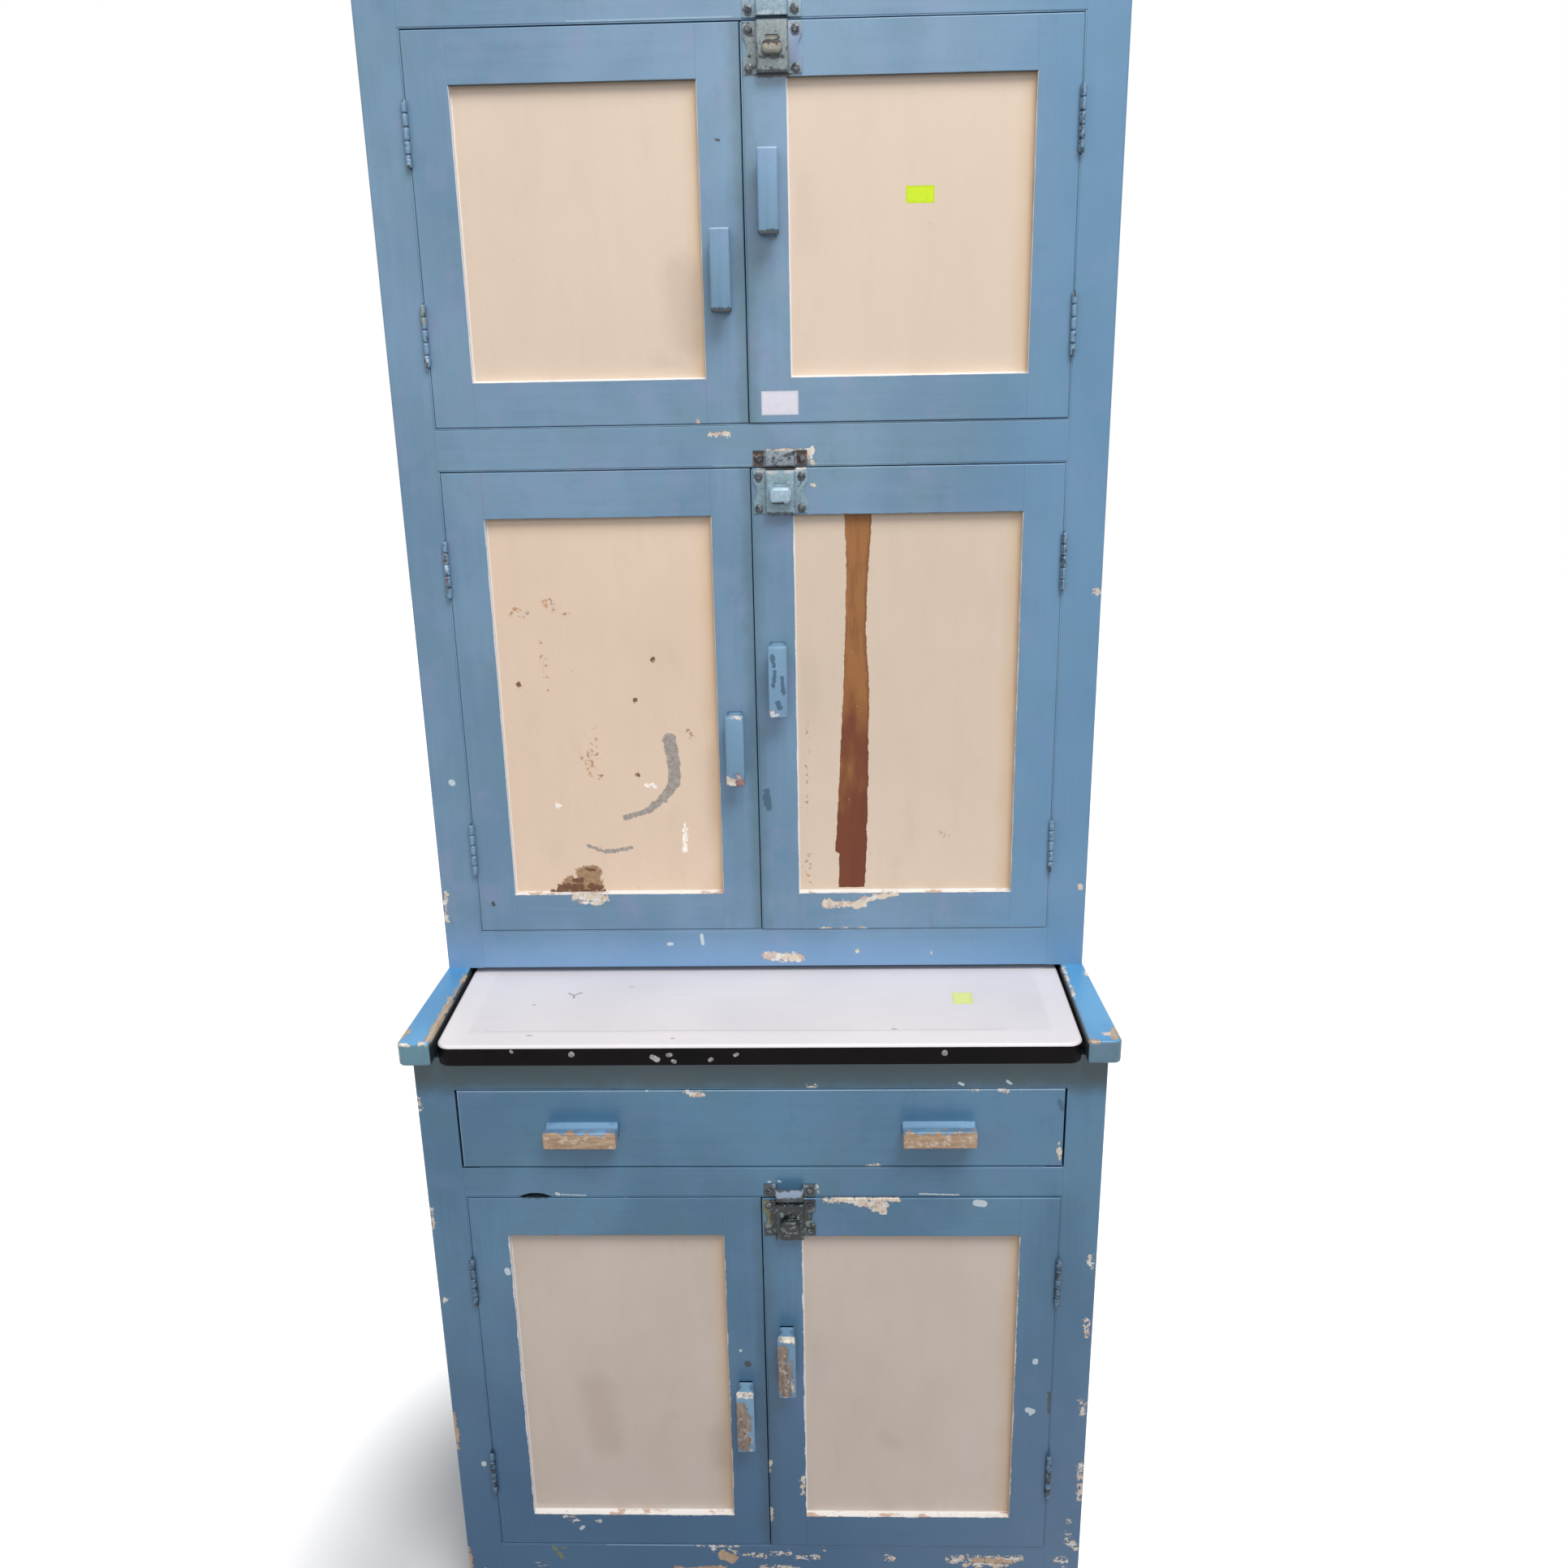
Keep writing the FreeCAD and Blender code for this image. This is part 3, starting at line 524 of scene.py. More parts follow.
def bareWood(name, along):
    material = newMaterial(name)
    tint = (0.52, 0.36, 0.215)
    stretch = tuple(0.05 if part < 1 else 1 for part in grain[along])
    rings = step(clouds(9, 4, stretch, 0.6), 0.3, 0.7)
    colour = layered(
        blend(rings, shade(tint, 0.72), shade(tint, 1.12)),
        (step(clouds(120, 4, rough=0.6, shift=(2, 5, 1)), 0.4, 0.75), 0.45, (0.24, 0.155, 0.085)),
        (step(clouds(1.6, 2, stretch), 0.55, 0.75), 0.35, shade(tint, 0.45)))
    return finishSurface(material, colour, rings * 0.15 + 0.62, rings, 0.15)


def hardboard(name):
    material = newMaterial(name)
    fibre = step(clouds(1.8, 3, rough=0.7), 0.35, 0.65)
    colour = layered(blend(fibre, (0.23, 0.135, 0.070), (0.31, 0.195, 0.110)),
                     (step(clouds(160, 4, rough=0.6), 0.4, 0.7), 0.4, (0.17, 0.10, 0.055)))
    return finishSurface(material, colour, fibre * 0.1 + 0.55, fibre, 0.1)


def oldMetal(name, paint, rust, paintLeft, grime=(0.030, 0.036, 0.040), coarse=6.0, rustAt=(), tintAt=(),
             sideTint=(0.17, 0.17, 0.07), paleAt=(), paleTint=(0.40, 0.43, 0.44), grimeAndShadeAt=()):
    # pressed steel that was painted over: paint left on the faces, rust in spots, grime between
    material = newMaterial(name)
    patch = clouds(coarse, 5, rough=0.7, shift=(3, 3, 3))
    fine = clouds(2.4, 4, rough=0.7)
    limit, rustLimit = 0.62 - 0.3 * paintLeft, 0.72 - 0.25 * rust
    faded = blend(step(fine, 0.35, 0.7), shade(paint, 0.85), shade(paint, 1.25))
    rusty = step(clouds(5, 4, rough=0.7, shift=(7, 2, 9)), rustLimit, rustLimit + 0.08)
    uneven = stray(12, 5, 4, rough=0.7, shift=(2, 4, 4))
    if rustAt:
        rusty = greater(rusty, marked(rustAt, uneven, 1.5))
    brown = blend(step(fine, 0.4, 0.62), (0.075, 0.034, 0.018), (0.21, 0.095, 0.048))
    colour = layered(grime, (step(patch, limit, limit + 0.05), 1, faded), (rusty, 0.9, brown))
    # the grime marks are partly dirt and partly painted shade
    for marks, part, soft, amount, tint in (
            (tintAt, 1.0, 2.0, 0.75, sideTint), (paleAt, 1.0, 1.2, 0.85, paleTint),
            (grimeAndShadeAt, 0.5, 0.8, 0.88, (0.012, 0.015, 0.020))):
        if marks:
            colour = layered(colour, (marked(marks, uneven * part, soft), amount, tint))
    pale = step(clouds(3, 3, rough=0.6, shift=(1, 8, 2)), 0.69, 0.73)
    colour = layered(colour, (pale, 0.7, (0.50, 0.48, 0.44)))
    return finishSurface(material, colour, rusty * 0.3 + 0.40, patch - rusty * 0.3, 0.35, {"Metallic": 0.15})


def enamelFinish(name, edge, settings):
    # fired white glass over steel: greyish lavender, whiter along its rolled edge, with thin scuffs and a
    # long crease
    material = newMaterial(name)
    broad = step(clouds(150, 3), 0.3, 0.7)
    scuffs = step(clouds(14, 5, (0.25, 1, 1), 0.75, (3, 6, 1)), 0.62, 0.8)
    fine = stray(4, 4, 4, rough=0.7)
    dented = step(strokes(settings["crease"], "xy") + fine * 0.3, 0.6, -0.5)
    colour = layered(
        blend(broad, (0.655, 0.628, 0.650), (0.715, 0.688, 0.702)),
        (step(clouds(40, 4, (0.4, 1, 1), 0.65, (1, 2, 8)), 0.45, 0.75), 0.22, (0.60, 0.575, 0.59)),
        (scuffs, 0.35, (0.43, 0.41, 0.43)),
        (step(clouds(5, 3, (0.12, 1, 1), 0.6, (9, 6, 3)), 0.70, 0.76), 0.35, (0.40, 0.38, 0.40)),
        (step(frameDistance(*edge, "xy") + fine * 0.8, -34, -26), 0.55, (0.775, 0.740, 0.760)),
        (dented, 0.45, (0.42, 0.39, 0.41)),
        (marked(settings["marks"], fine, 0.4, "xy"), 0.75, (0.20, 0.185, 0.19)),
        (marked(settings["dabs"], fine, 0.4, "xy"), 0.75, (0.42, 0.29, 0.23)))
    colour, rough = stickLabel(colour, scuffs * 0.2 + 0.34, 1.0, **settings["label"])
    return finishSurface(material, colour, rough, broad * 0.8 - dented, 0.25, {"IOR": 1.52})


def blackEnamel(name, flakes):
    # the dark fired lip, dull with age, chipped through to grey steel in places
    material = newMaterial(name)
    broad = step(clouds(30, 4, rough=0.6), 0.35, 0.7)
    flaked = step(strokes(flakes) + stray(3, 4, 4, rough=0.7), 0.4, -0.3)
    steel = blend(step(clouds(3, 3, shift=(5, 5, 5)), 0.4, 0.6), (0.23, 0.215, 0.21), (0.50, 0.48, 0.47))
    rust = step(clouds(9, 5, (0.5, 1, 1), 0.75, (7, 1, 4)), 0.66, 0.72)
    colour = layered(blend(broad, (0.0035, 0.0028, 0.0032), (0.0075, 0.0055, 0.0060)),
                     (flaked, 1, steel), (rust, 0.7, (0.055, 0.026, 0.018)))
    return finishSurface(material, colour, broad * 0.15 + 0.42, broad, 0.12, {"Specular IOR Level": 0.06})


# shapes worked out as arrays, in millimetres

def filletRing(corners, radii, steps=4):
    # a closed ring through the corners; each one is cut back by its radius along both sides,
    # and a weighted quadratic curve (a true arc at a right angle) bridges the cut
    corners = np.array(corners, float)
    radii = np.broadcast_to(np.array(radii, float), len(corners))[:, None]
    back, ahead = (np.roll(corners, by, axis=0) - corners for by in (1, -1))
    first = corners + radii * back / np.linalg.norm(back, axis=1, keepdims=True)
    last = corners + radii * ahead / np.linalg.norm(ahead, axis=1, keepdims=True)
    t = np.linspace(0, 1, steps + 1)[None, :, None]
    weights = (1 - t) ** 2, 2 * np.sqrt(0.5) * t * (1 - t), t ** 2
    arcs = weights[0] * first[:, None] + weights[1] * corners[:, None] + weights[2] * last[:, None]
    return (arcs / sum(weights)).reshape(-1, 2)


def ringNormals(ring):
    tangent = np.roll(ring, -1, axis=0) - np.roll(ring, 1, axis=0)
    normal = np.stack([tangent[:, 1], -tangent[:, 0]], axis=1)
    return normal / np.maximum(np.linalg.norm(normal, axis=1, keepdims=True), 1e-9)


def skin(count, around, flip=False):
    # faces between each ring and the next, and across the first and the last
    start, spot = np.arange(count - 1)[:, None] * around, np.arange(around)
    low, side = (start + spot).ravel(), (start + np.roll(spot, -1)).ravel()
    faces = np.stack([low, side, side + around, low + around], axis=1).tolist()
    faces += [spot[::-1].tolist(), (spot + (count - 1) * around).tolist()]
    return [face[:1] + face[:0:-1] for face in faces] if flip else faces


def carry(ring, axis, stations):
    # the ring stands square to the axis at each station (place, inset) and draws in
    # along its own normals by the inset; the two ends are closed
    order = {"x": (1, 2, 0), "y": (2, 0, 1), "z": (0, 1, 2)}[axis]
    if axis == "y":
        ring = ring[:, ::-1]  # given as x, z
    following = np.roll(ring, -1, axis=0)
    if (ring[:, 0] * following[:, 1] - ring[:, 1] * following[:, 0]).sum() < 0:
        ring = ring[::-1]
    stations = np.array(stations, float)
    drawn = ring[None] - stations[:, 1, None, None] * ringNormals(ring)[None]
    places = np.broadcast_to(stations[:, 0, None, None], drawn.shape[:2] + (1,))
    points = np.concatenate([drawn, places], axis=2)
    return points[..., np.argsort(order)].reshape(-1, 3), skin(*drawn.shape[:2])


def softEnds(start, end, radius, steps=3):
    # stations whose inset follows a quarter circle at both ends
    turn = np.linspace(0, np.pi / 2, steps + 1)
    inset = radius * (1 - np.sin(turn))
    near = start + radius * (1 - np.cos(turn)) * np.sign(end - start)
    far = end - radius * (1 - np.cos(turn)) * np.sign(end - start)
    stations = np.concatenate([np.stack([near, inset], 1), np.stack([far, inset], 1)[::-1]])
    return stations[np.argsort(stations[:, 0])]


def board(low, high, along, soft=1.0, endSoft=None):
    # a board with softened edges: a rounded rectangle carried along one axis
    a, b = {"x": (1, 2), "y": (0, 2), "z": (0, 1)}[along]
    corners = [(low[a], low[b]), (high[a], low[b]), (high[a], high[b]), (low[a], high[b])]
    axis = "xyz".index(along)
    return carry(filletRing(corners, soft, 3), along, softEnds(low[axis], high[axis], endSoft or soft))


def dyed(part, kind):
    # the part's points and faces, with the number of its material for each face
    return (*part, np.full(len(part[1]), kind))


def gather(parts):
    # each part is points, faces and, where it isn't 0, the number of its material
    points, faces, kinds, count = [], [], [], 0
    for part in parts:
        points.append(part[0])
        faces += [[corner + count for corner in face] for face in part[1]]
        kinds.append(np.broadcast_to(part[2] if len(part) > 2 else 0, len(part[1])))
        count += len(part[0])
    return np.concatenate(points), faces, np.concatenate(kinds)


def addPiece(name, parts, body, materials, replaced=(), crease=35):
    points, faces, kinds = gather(parts)
    mesh = bpy.data.meshes.new(name)
    mesh.from_pydata((points * mm).tolist(), [], faces)
    mesh.polygons.foreach_set("use_smooth", np.ones(len(faces), bool))
    for material in materials if isinstance(materials, (list, tuple)) else (materials,):
        mesh.materials.append(material)
    mesh.polygons.foreach_set("material_index", kinds.astype(np.int32))
    mesh.set_sharp_from_angle(angle=radians(crease))
    piece = bpy.data.objects.new(name, mesh)
    scene.collection.objects.link(piece)
    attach(piece, body)
    if replaced:
        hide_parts(*replaced)
    return piece


def softened(nodeName, width, smallest=12.0, limit=35):
    # a merged copy of each solid in a CAD node, its flat faces joined again and its sharp edges rounded over;
    # solids narrower than the smallest are left out, and their boxes given back beside the copies
    whole = bmesh.new()
    whole.from_mesh(nodes[nodeName].data)
    bmesh.ops.remove_doubles(whole, verts=whole.verts, dist=1e-5)
    waiting, copies, boxes = set(whole.verts), [], []
    while waiting:
        island, edge = set(), {waiting.pop()}
        while edge:
            island |= edge
            edge = {link.other_vert(corner) for corner in edge for link in corner.link_edges} - island
        waiting -= island
        spots = np.array([corner.co for corner in island]) / mm
        low, high = spots.min(0), spots.max(0)
        if high[0] - low[0] < smallest:
            boxes.append((low, high))
            continue
        order = {corner: number for number, corner in enumerate(island)}
        faces = {face for corner in island for face in corner.link_faces}
        work = bmesh.new()
        made = [work.verts.new(corner.co) for corner in island]
        for face in faces:
            work.faces.new([made[order[corner]] for corner in face.verts])
        bmesh.ops.dissolve_limit(work, angle_limit=radians(0.5), verts=work.verts, edges=work.edges)
        sharp = [link for link in work.edges
                 if len(link.link_faces) == 2 and link.calc_face_angle(0) > radians(limit)]
        bmesh.ops.bevel(work, geom=sharp, offset=width * mm, offset_type="OFFSET", segments=2, profile=0.5,
                        affect="EDGES", clamp_overlap=True)
        work.verts.index_update()
        copies.append((np.array([corner.co for corner in work.verts]) / mm,
                       [[corner.index for corner in face.verts] for face in work.faces]))
        work.free()
    whole.free()
    return copies, boxes


def dress(nodeName, material):
    # a CAD node keeps its mesh and takes this material
    slots = nodes[nodeName].material_slots
    if not slots:
        nodes[nodeName].data.materials.append(material)
    for slot in slots:
        slot.material = material


def slottedHead(x, y, z, radius, height, turn=0.0):
    # a domed round head on a square grid bent to a disc (u times the root of one less half v squared),
    # raised by a low dome and cut by a straight slot across its middle
    u = np.array([-1, -0.8, -0.55, -0.3, -0.17, -0.12, 0.12, 0.17, 0.3, 0.55, 0.8, 1])
    v = np.linspace(-1, 1, 11)
    u, v = np.meshgrid(u, v, indexing="ij")
    across, along = u * np.sqrt(1 - v ** 2 / 2), v * np.sqrt(1 - u ** 2 / 2)
    reach = np.hypot(across, along)
    rise = height * np.sqrt(np.maximum(1 - 0.75 * reach ** 2, 0.0))
    rise = np.where(np.abs(u) < 0.13, rise - 0.45 * height, rise)
    spin = radians(turn)
    side = radius * (across * np.cos(spin) - along * np.sin(spin))
    lift = radius * (across * np.sin(spin) + along * np.cos(spin))
    top = np.stack([x + side, y - rise, z + lift], axis=-1).reshape(-1, 3)
    rows, columns = u.shape
    index = np.arange(rows * columns).reshape(rows, columns)
    quads = np.stack([index[:-1, :-1], index[1:, :-1], index[1:, 1:], index[:-1, 1:]], -1).reshape(-1, 4)
    rim = np.concatenate([index[:-1, 0], index[-1, :-1], index[:0:-1, -1], index[0, :0:-1]])
    foot = top[rim].copy()
    foot[:, 1] = y
    below = len(top) + np.arange(len(rim))
    following = np.roll(np.arange(len(rim)), -1)
    skirt = np.stack([rim, below, below[following], rim[following]], axis=1)
    return np.concatenate([top, foot]), quads.tolist() + skirt.tolist() + [below[::-1].tolist()]


# where things are, in millimetres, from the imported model

def boxOf(nodeName):
    low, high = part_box(nodeName)
    return np.array(low) / mm, np.array(high) / mm


def frontOf(nodeName):
    # where the face is along y, and the outline as its middle and half sizes in x and z
    low, high = boxOf(nodeName)
    middle, half = (low + high) / 2, (high - low) / 2
    return low[1], (middle[0], middle[2], half[0], half[2])


hutchFace = boxOf("hutch_face_frame")[0][1]
baseFace = boxOf("base_face_frame")[0][1]
rows = {"upper": hutchFace, "middle": hutchFace, "lower": baseFace}
tones = {"upper": "hutch", "middle": "hutch", "lower": "base"}
print("faces of the hutch and the base at", round(hutchFace, 2), round(baseFace, 2))

# doors: frames and panels
doorWear = {
    "upper_left": {"chips": [(-55, 1443, 2.5)], "dark": [(-27, 1717, -24, 1716, 1.2)], "edgeWear": 0.05},
    "upper_right": {
        # the dark strokes below the catch case and at the keeper gap are painted shade
        "edgeWear": 0.05, "dark": [(17, 1776, 46, 1776, 4.5), (17, 1821, 46, 1821, 1.5)],
        "label": {"x": 32.5, "z": 1461.2, "halfWide": 19.5, "halfTall": 12.2, "tint": (0.7, 0.69, 0.76)},
    },
    "middle_left": {
        "chips": [(-221, 899, -184, 897, 4.5), (-215, 893, -192, 891, 3)], "dark": [(-320, 892, 2.4)],
        "edgeWear": 0.12,
    },
    "middle_right": {
        "chips": [
            (74, 889, 118, 889, 5.5), (118, 893, 158, 901, 3.2), (64, 1377, 68, 1376, 1.9),
            (57, 856, 124, 856, 1.6), (3, 1394, 62, 1393, 1.6)],
        "old": [(9, 1030, 11, 1010, 3.6), (7, 1024, 8, 1014, 3)],
        # the dark strokes at the catch's top and foot are painted shade
        "dark": [(17, 1393, 46, 1393, 1.5), (18, 1345, 45, 1345, 1.0)], "edgeWear": 0.16,
    },
    "lower_left": {
        "chips": [(-245, 137, -238, 136, 2), (-216, 134, -212, 134, 2), (-256, 142, -244, 142, 1.6)],
        "dabs": [
            (-298, 504, -297, 500, 3.2), (-236, 123, -233, 126, 2.2), (-30, 392, 1.6),
            (-212, 136, -211, 136, 2)],
        # the second dark stroke is painted shade in the worn notch above the door
        "dark": [(-22, 373, 4), (-271, 603.2, -244, 603.2, 2.8)], "edgeWear": 0.3,
    },
    "lower_right": {
        "chips": [
            (73, 599, 153, 600, 3), (108, 596, 140, 593, 4.5), (128, 588, 136, 585, 4),
            (0.5, 229, 0.5, 213, 2.6), (0.5, 159, 0.5, 140, 2), (41, 208, 40, 180, 2.2)],
        "moss": [(2, 597, 2, 572, 1.2)],
        "dabs": [
            (242, 595, 250, 594, 4.2), (316, 379, 316, 377, 3.2), (310, 308, 315, 306, 3.8), (313, 303, 2)],
        "dark": [(334, 333, 335, 304, 2)], "edgeWear": 0.34,
    },
}
panelWear = {
    "middle_left": {
        "specks": [
            (-271, 1242, -255, 1238, 9), (-232, 1250, -214, 1240, 9), (-216, 1291, -215, 1290, 5),
            (-192, 1102, -190, 1060, 11), (-205, 1064, -186, 1048, 10), (-81, 1101, -75, 1092, 6),
            (-242, 1204, -236, 1150, 7)],
        "tan": [(-224, 913, -197, 913, 8.5), (-210, 926, -199, 927, 9.5), (-234, 911, -226, 921, 4.5)],
        "brown": [
            (-250, 904, -188, 903, 2.6), (-239, 908, -216, 909, 4.6), (-222, 918, -213, 919, 3),
            (-203, 910, -194, 907, 4.2), (-206, 932, -197, 931, 1.6), (-271, 1157, 2.8), (-139, 1137, 2.6),
            (-140, 1048, 2.4), (-116, 1185, 2.4)],
        "grey": [
            (-102, 1090, -98, 1060, 7.6), (-98, 1060, -98, 1038, 7.2), (-98, 1038, -112, 1019, 5.4),
            (-112, 1019, -131, 1004, 4), (-131, 1004, -157, 996, 3.2), (-203, 961, -185, 954, 2),
            (-185, 954, -171, 954, 2.2), (-171, 954, -152, 959, 2)],
        "white": [(-131, 1036, -121, 1034, 2.2), (-236, 1012, -235, 1012, 2.6), (-88, 988, -89, 954, 2.0)],
    },
    "middle_right": {"specks": [(56, 1120, 55, 1000, 5), (56, 950, 57, 915, 8), (211, 975, 218, 970, 8)]},
    "upper_left": {"haze": [(-62, 1530, -66, 1590, 30), (-95, 1505, -70, 1500, 14)]},
    "upper_right": {
        "label": {"x": 178.5, "z": 1662.5, "halfWide": 14.5, "halfTall": 8.3, "tint": (0.6, 0.78, 0.012)},
    },
    "lower_left": {"stain": 0.05, "haze": [(-196, 250, -206, 330, 30), (-60, 220, -62, 260, 20)]},
    "lower_right": {"stain": 0.03, "haze": [(140, 260, 150, 250, 16)]},
}
# this darkens the base's blue towards the floor: painted shade where the light falls off downwards
deepBlue = ("z", 600, 180, 0.62, (0.044, 0.104, 0.210))
rightBlue = ("x", 190, 350, 0.55, (0.094, 0.242, 0.415))
doorSettings = {
    "stile": 44.0, "footRail": 46.0, "topRail": 50.0, "specks": {"hutch": 0.0, "base": 0.3},
    "panelTone": {"upper_left": "upper", "upper_right": "upper", "middle_left": "warm",
                  "middle_right": "upper", "lower_left": "lower", "lower_right": "lower"},
    "graded": {"hutch": rightBlue, "base": deepBlue},
    # towards the meeting edge, a painted shadow cast by the right door: where it starts, where it is full,
    # and how thick
    "meeting": {"left": (-17, -2, 0.55), "right": (17, 2, 0.40)},
    "meetingShadow": {"hutch": (0.060, 0.118, 0.138), "base": (0.025, 0.065, 0.095)},
    "strips": {"middle_right": stripSettings},
}


def paintDoor(door, settings):
    row, side = door.split("_")
    tone, foot, top = tones[row], settings["footRail"], settings["topRail"]
    face, outline = frontOf(door + "_door_frame")
    middleX, middleZ, halfX, halfZ = outline
    opening = (middleX, middleZ + (foot - top) / 2, halfX - settings["stile"], halfZ - (foot + top) / 2)
    # a painted shadow along the meeting edge
    meeting = ("x", *settings["meeting"][side], settings["meetingShadow"][tone])
    dress(door + "_door_frame", bluePaint(
        door + "DoorPaint", tone, face, (middleX, opening[2]), opening=opening, outline=outline,
        specks=settings["specks"][tone], graded=[settings["graded"][tone], meeting], **doorWear[door]))
    dress(door + "_door_panel", creamPaint(
        door + "PanelPaint", settings["panelTone"][door], boxOf(door + "_door_panel")[0][1], opening,
        strip=settings["strips"].get(door), **panelWear[door]))


for door in doorWear:
    paintDoor(door, doorSettings)
print("doors painted")

# the carcass
carcassWear = {
    "hutch_face_frame": {
        "dabs": [(-356, 1044, -355, 1043, 3.6), (-73, 849, -72, 838, 2), (-113, 838, -109, 838, 2)],
        "chips": [
            (375, 1256, 4), (373, 908, 373, 906, 3), (-43, 1430, -23, 1431, 1.6), (4, 821, 44, 820, 5.5),
            (112, 827, 2), (201, 825, 2), (21, 1411, 66, 1412, 3.4), (65, 1414, 66, 1390, 3),
            (-376, 905, -378, 870, 2)],
        # the thinned lines along the rails' edges are painted highlights where the edges catch the light
        "thinnedAndLit": [
            (-170, 1825.8, -8, 1826.2, 0.8), (-40, 1397, 0, 1397, 0.7), (72, 1396.8, 165, 1396.6, 0.7)],
        # the two dark strokes by the keepers are painted shade in the gaps between keeper and case
        "dark": [(-339, 1262, 3), (17, 1828, 46, 1828, 5), (17, 1399, 46, 1399, 4)],
    },
    "base_face_frame": {
        "dabs": [
            (19, 623, 21, 622, 1.3), (8, 622, 10, 622, 1.0), (62, 617, 63, 616, 1.2),
            (-349, 224, -349, 222, 3), (220, 747, 224, 745, 1.6), (272, 749, 276, 746, 1.4),
            (-233, 607, -231, 606, 1.8), (-227, 605.4, -200, 604.6, 0.7), (178, 606, 222, 604.5, 0.8)],
        # the dark strokes over the worn notch are painted shade in its hollow
        "dark": [(-272, 603.4, -243, 603.4, 2.2), (-266, 604.6, -249, 604.6, 3.0)],
        "chips": [
            (54, 743, 62, 743, 1.6), (-93, 97, -38, 96, 1.2), (-72, 91, -60, 90, 2.0),
            (-50, 92, -44, 86, 3.0), (-34, 83, -9, 82, 3.2), (0, 86, 24, 86, 2.4), (32, 80, 58, 79, 2.6),
            (142, 82, 151, 79, 3.5), (222, 78, 306, 79, 5.5), (240, 70, 290, 69, 4), (65, 91, 66, 91, 2),
            (-197, 89, 1.6), (-11, 62, 30, 60, 5), (374, 523, 375, 511, 3.4), (374, 434, 375, 416, 3.6),
            (374, 320, 375, 303, 3.4), (377, 226, 378, 176, 4.4), (366, 138, 367, 137, 3.4),
            (363, 118, 375, 98, 4.4), (354, 78, 365, 78, 3.6), (63, 612, 64, 607, 1.2),
            (-374, 463, -375, 462, 3.4), (-378, 728, -379, 716, 3), (-379, 586, -379, 563, 3)],
        "moss": [(-272, 93, -270, 90, 2.6), (-266, 84, -263, 78, 3.0), (-262, 93, -257, 92, 1.2)],
        # a pale line along the foot rail's top edge, partly worn paint and partly a painted highlight
        "thinnedAndLit": [(-205, 97.4, -96, 97.2, 0.5)],
        "worn": [
            (-379, 300, -380, 248, 2.4), (-381, 92, -379, 62, 3.4), (-120, 58, -60, 60, 5),
            (-62, 84, -50, 77, 6.5), (252, 77, 296, 75, 3.5), (40, 52, 120, 55, 6)],
    },
}
carcassSettings = {
    # the hutch's brighter band low down is painted light bounced off the enamel
    "hutch": {"edgeWear": 0.10, "brighter": (815, 870, 0.65), "graded": [rightBlue]},
    "base": {"edgeWear": 0.50, "specks": 0.2, "scuffBelow": 88, "broken": 0.7,
             # and a painted shadow under the worktop's lip, with grime in it
             "graded": [deepBlue, ("z", 724, 754, 0.98, (0.016, 0.044, 0.056))]},
    "sides": {"outline": (0, 390, 381, 391), "edgeWear": 0.3, "specks": 0.3, "scuffBelow": 110},
    "railHalf": 338.0, "beyond": 30,  # the worn outline runs past the top and the foot, which aren't rubbed
}
for part in ("hutch", "base"):
    nodeName = part + "_face_frame"
    face, (middleX, middleZ, halfX, halfZ) = frontOf(nodeName)
    dress(nodeName, bluePaint(
        part + "FramePaint", part, face, (middleX, carcassSettings["railHalf"]),
        outline=(middleX, middleZ, halfX, halfZ + carcassSettings["beyond"]),
        **carcassSettings[part], **carcassWear[nodeName]))
dress("base_sides", bluePaint("baseSidePaint", "base", **carcassSettings["sides"]))
dress("hutch_sides", bluePaint("hutchSidePaint", "hutch"))
dress("hutch_top_board", bluePaint("topPaint", "hutch", along="x"))
armWear = {
    "left": {
        "worn": [(-358, -214, -358, -110, 3.6), (-357, -110, -356, -50, 1.8), (-389, -214, -386, -190, 3)],
        "chips": [(-364, -219, -358, -218, 3), (-388, -220, -376, -222, 2)],
    },
    "right": {
        "worn": [(382, -214, 388, -196, 4), (356, -219, 364, -221, 2.4)],
        "chips": [(381, -60, 383, -52, 2.4), (374, -206, 386, -204, 3.4), (357, -120, 357, -40, 1.2)],
    },
}
armSettings = {"specks": 0.3, "wornTones": ((0.33, 0.235, 0.15), (0.47, 0.38, 0.27), (0.50, 0.45, 0.40))}
# the arms' level tops take a lit tone, a painted sky reflection, and their inner sides a painted shade
for side, wear in armWear.items():
    low, high = boxOf("side_arm_" + side)
    dress("side_arm_" + side, bluePaint(
        "arm" + side.title() + "Paint", "nose", high[2], along="y", plane="xy",
        level=("arms", (low[0] + high[0]) / 2, (high[0] - low[0]) / 2, min(abs(low[0]), abs(high[0]))),
        **armSettings, **wear))
drawerWear = {
    "outline": (0, 690.5, 336, 48.5), "edgeWear": 0.16,
    "chips": [(-79, 736, -64, 733, 3), (-124, 740, -123, 741, 2.4), (236, 738, 240, 738, 1.2),
              (262, 738, 272, 738, 1.2), (332, 672, 333, 650, 1.8), (119, 643, 132, 643, 1.2)],
    "old": [(330, 724, 333, 715, 3)],
    # the thinned lines along the drawer's top and left edges are partly worn paint and partly painted
    # highlights
    "thinnedAndLit": [(-335, 738.2, 335, 738.2, 0.5), (-335, 642, -335, 738, 0.4)],
}
dress("drawer_front", bluePaint("drawerPaint", "base", baseFace, along="x", **drawerWear))

ridgeSettings = {
    "thick": 0.9, "hingeThick": 1.7, "footThick": 1.5, "start": 0.15, "depth": 7.0, "gap": 2.0, "soft": 0.2,
    "hingeApart": 0.4, "meetingDepth": 3.3, "meetingEnd": 1.0, "meetingLap": 0.2, "notch": (-276, -239),
    "drawerFoot": 318.0,  # the drawer's sides need the room beyond this
}


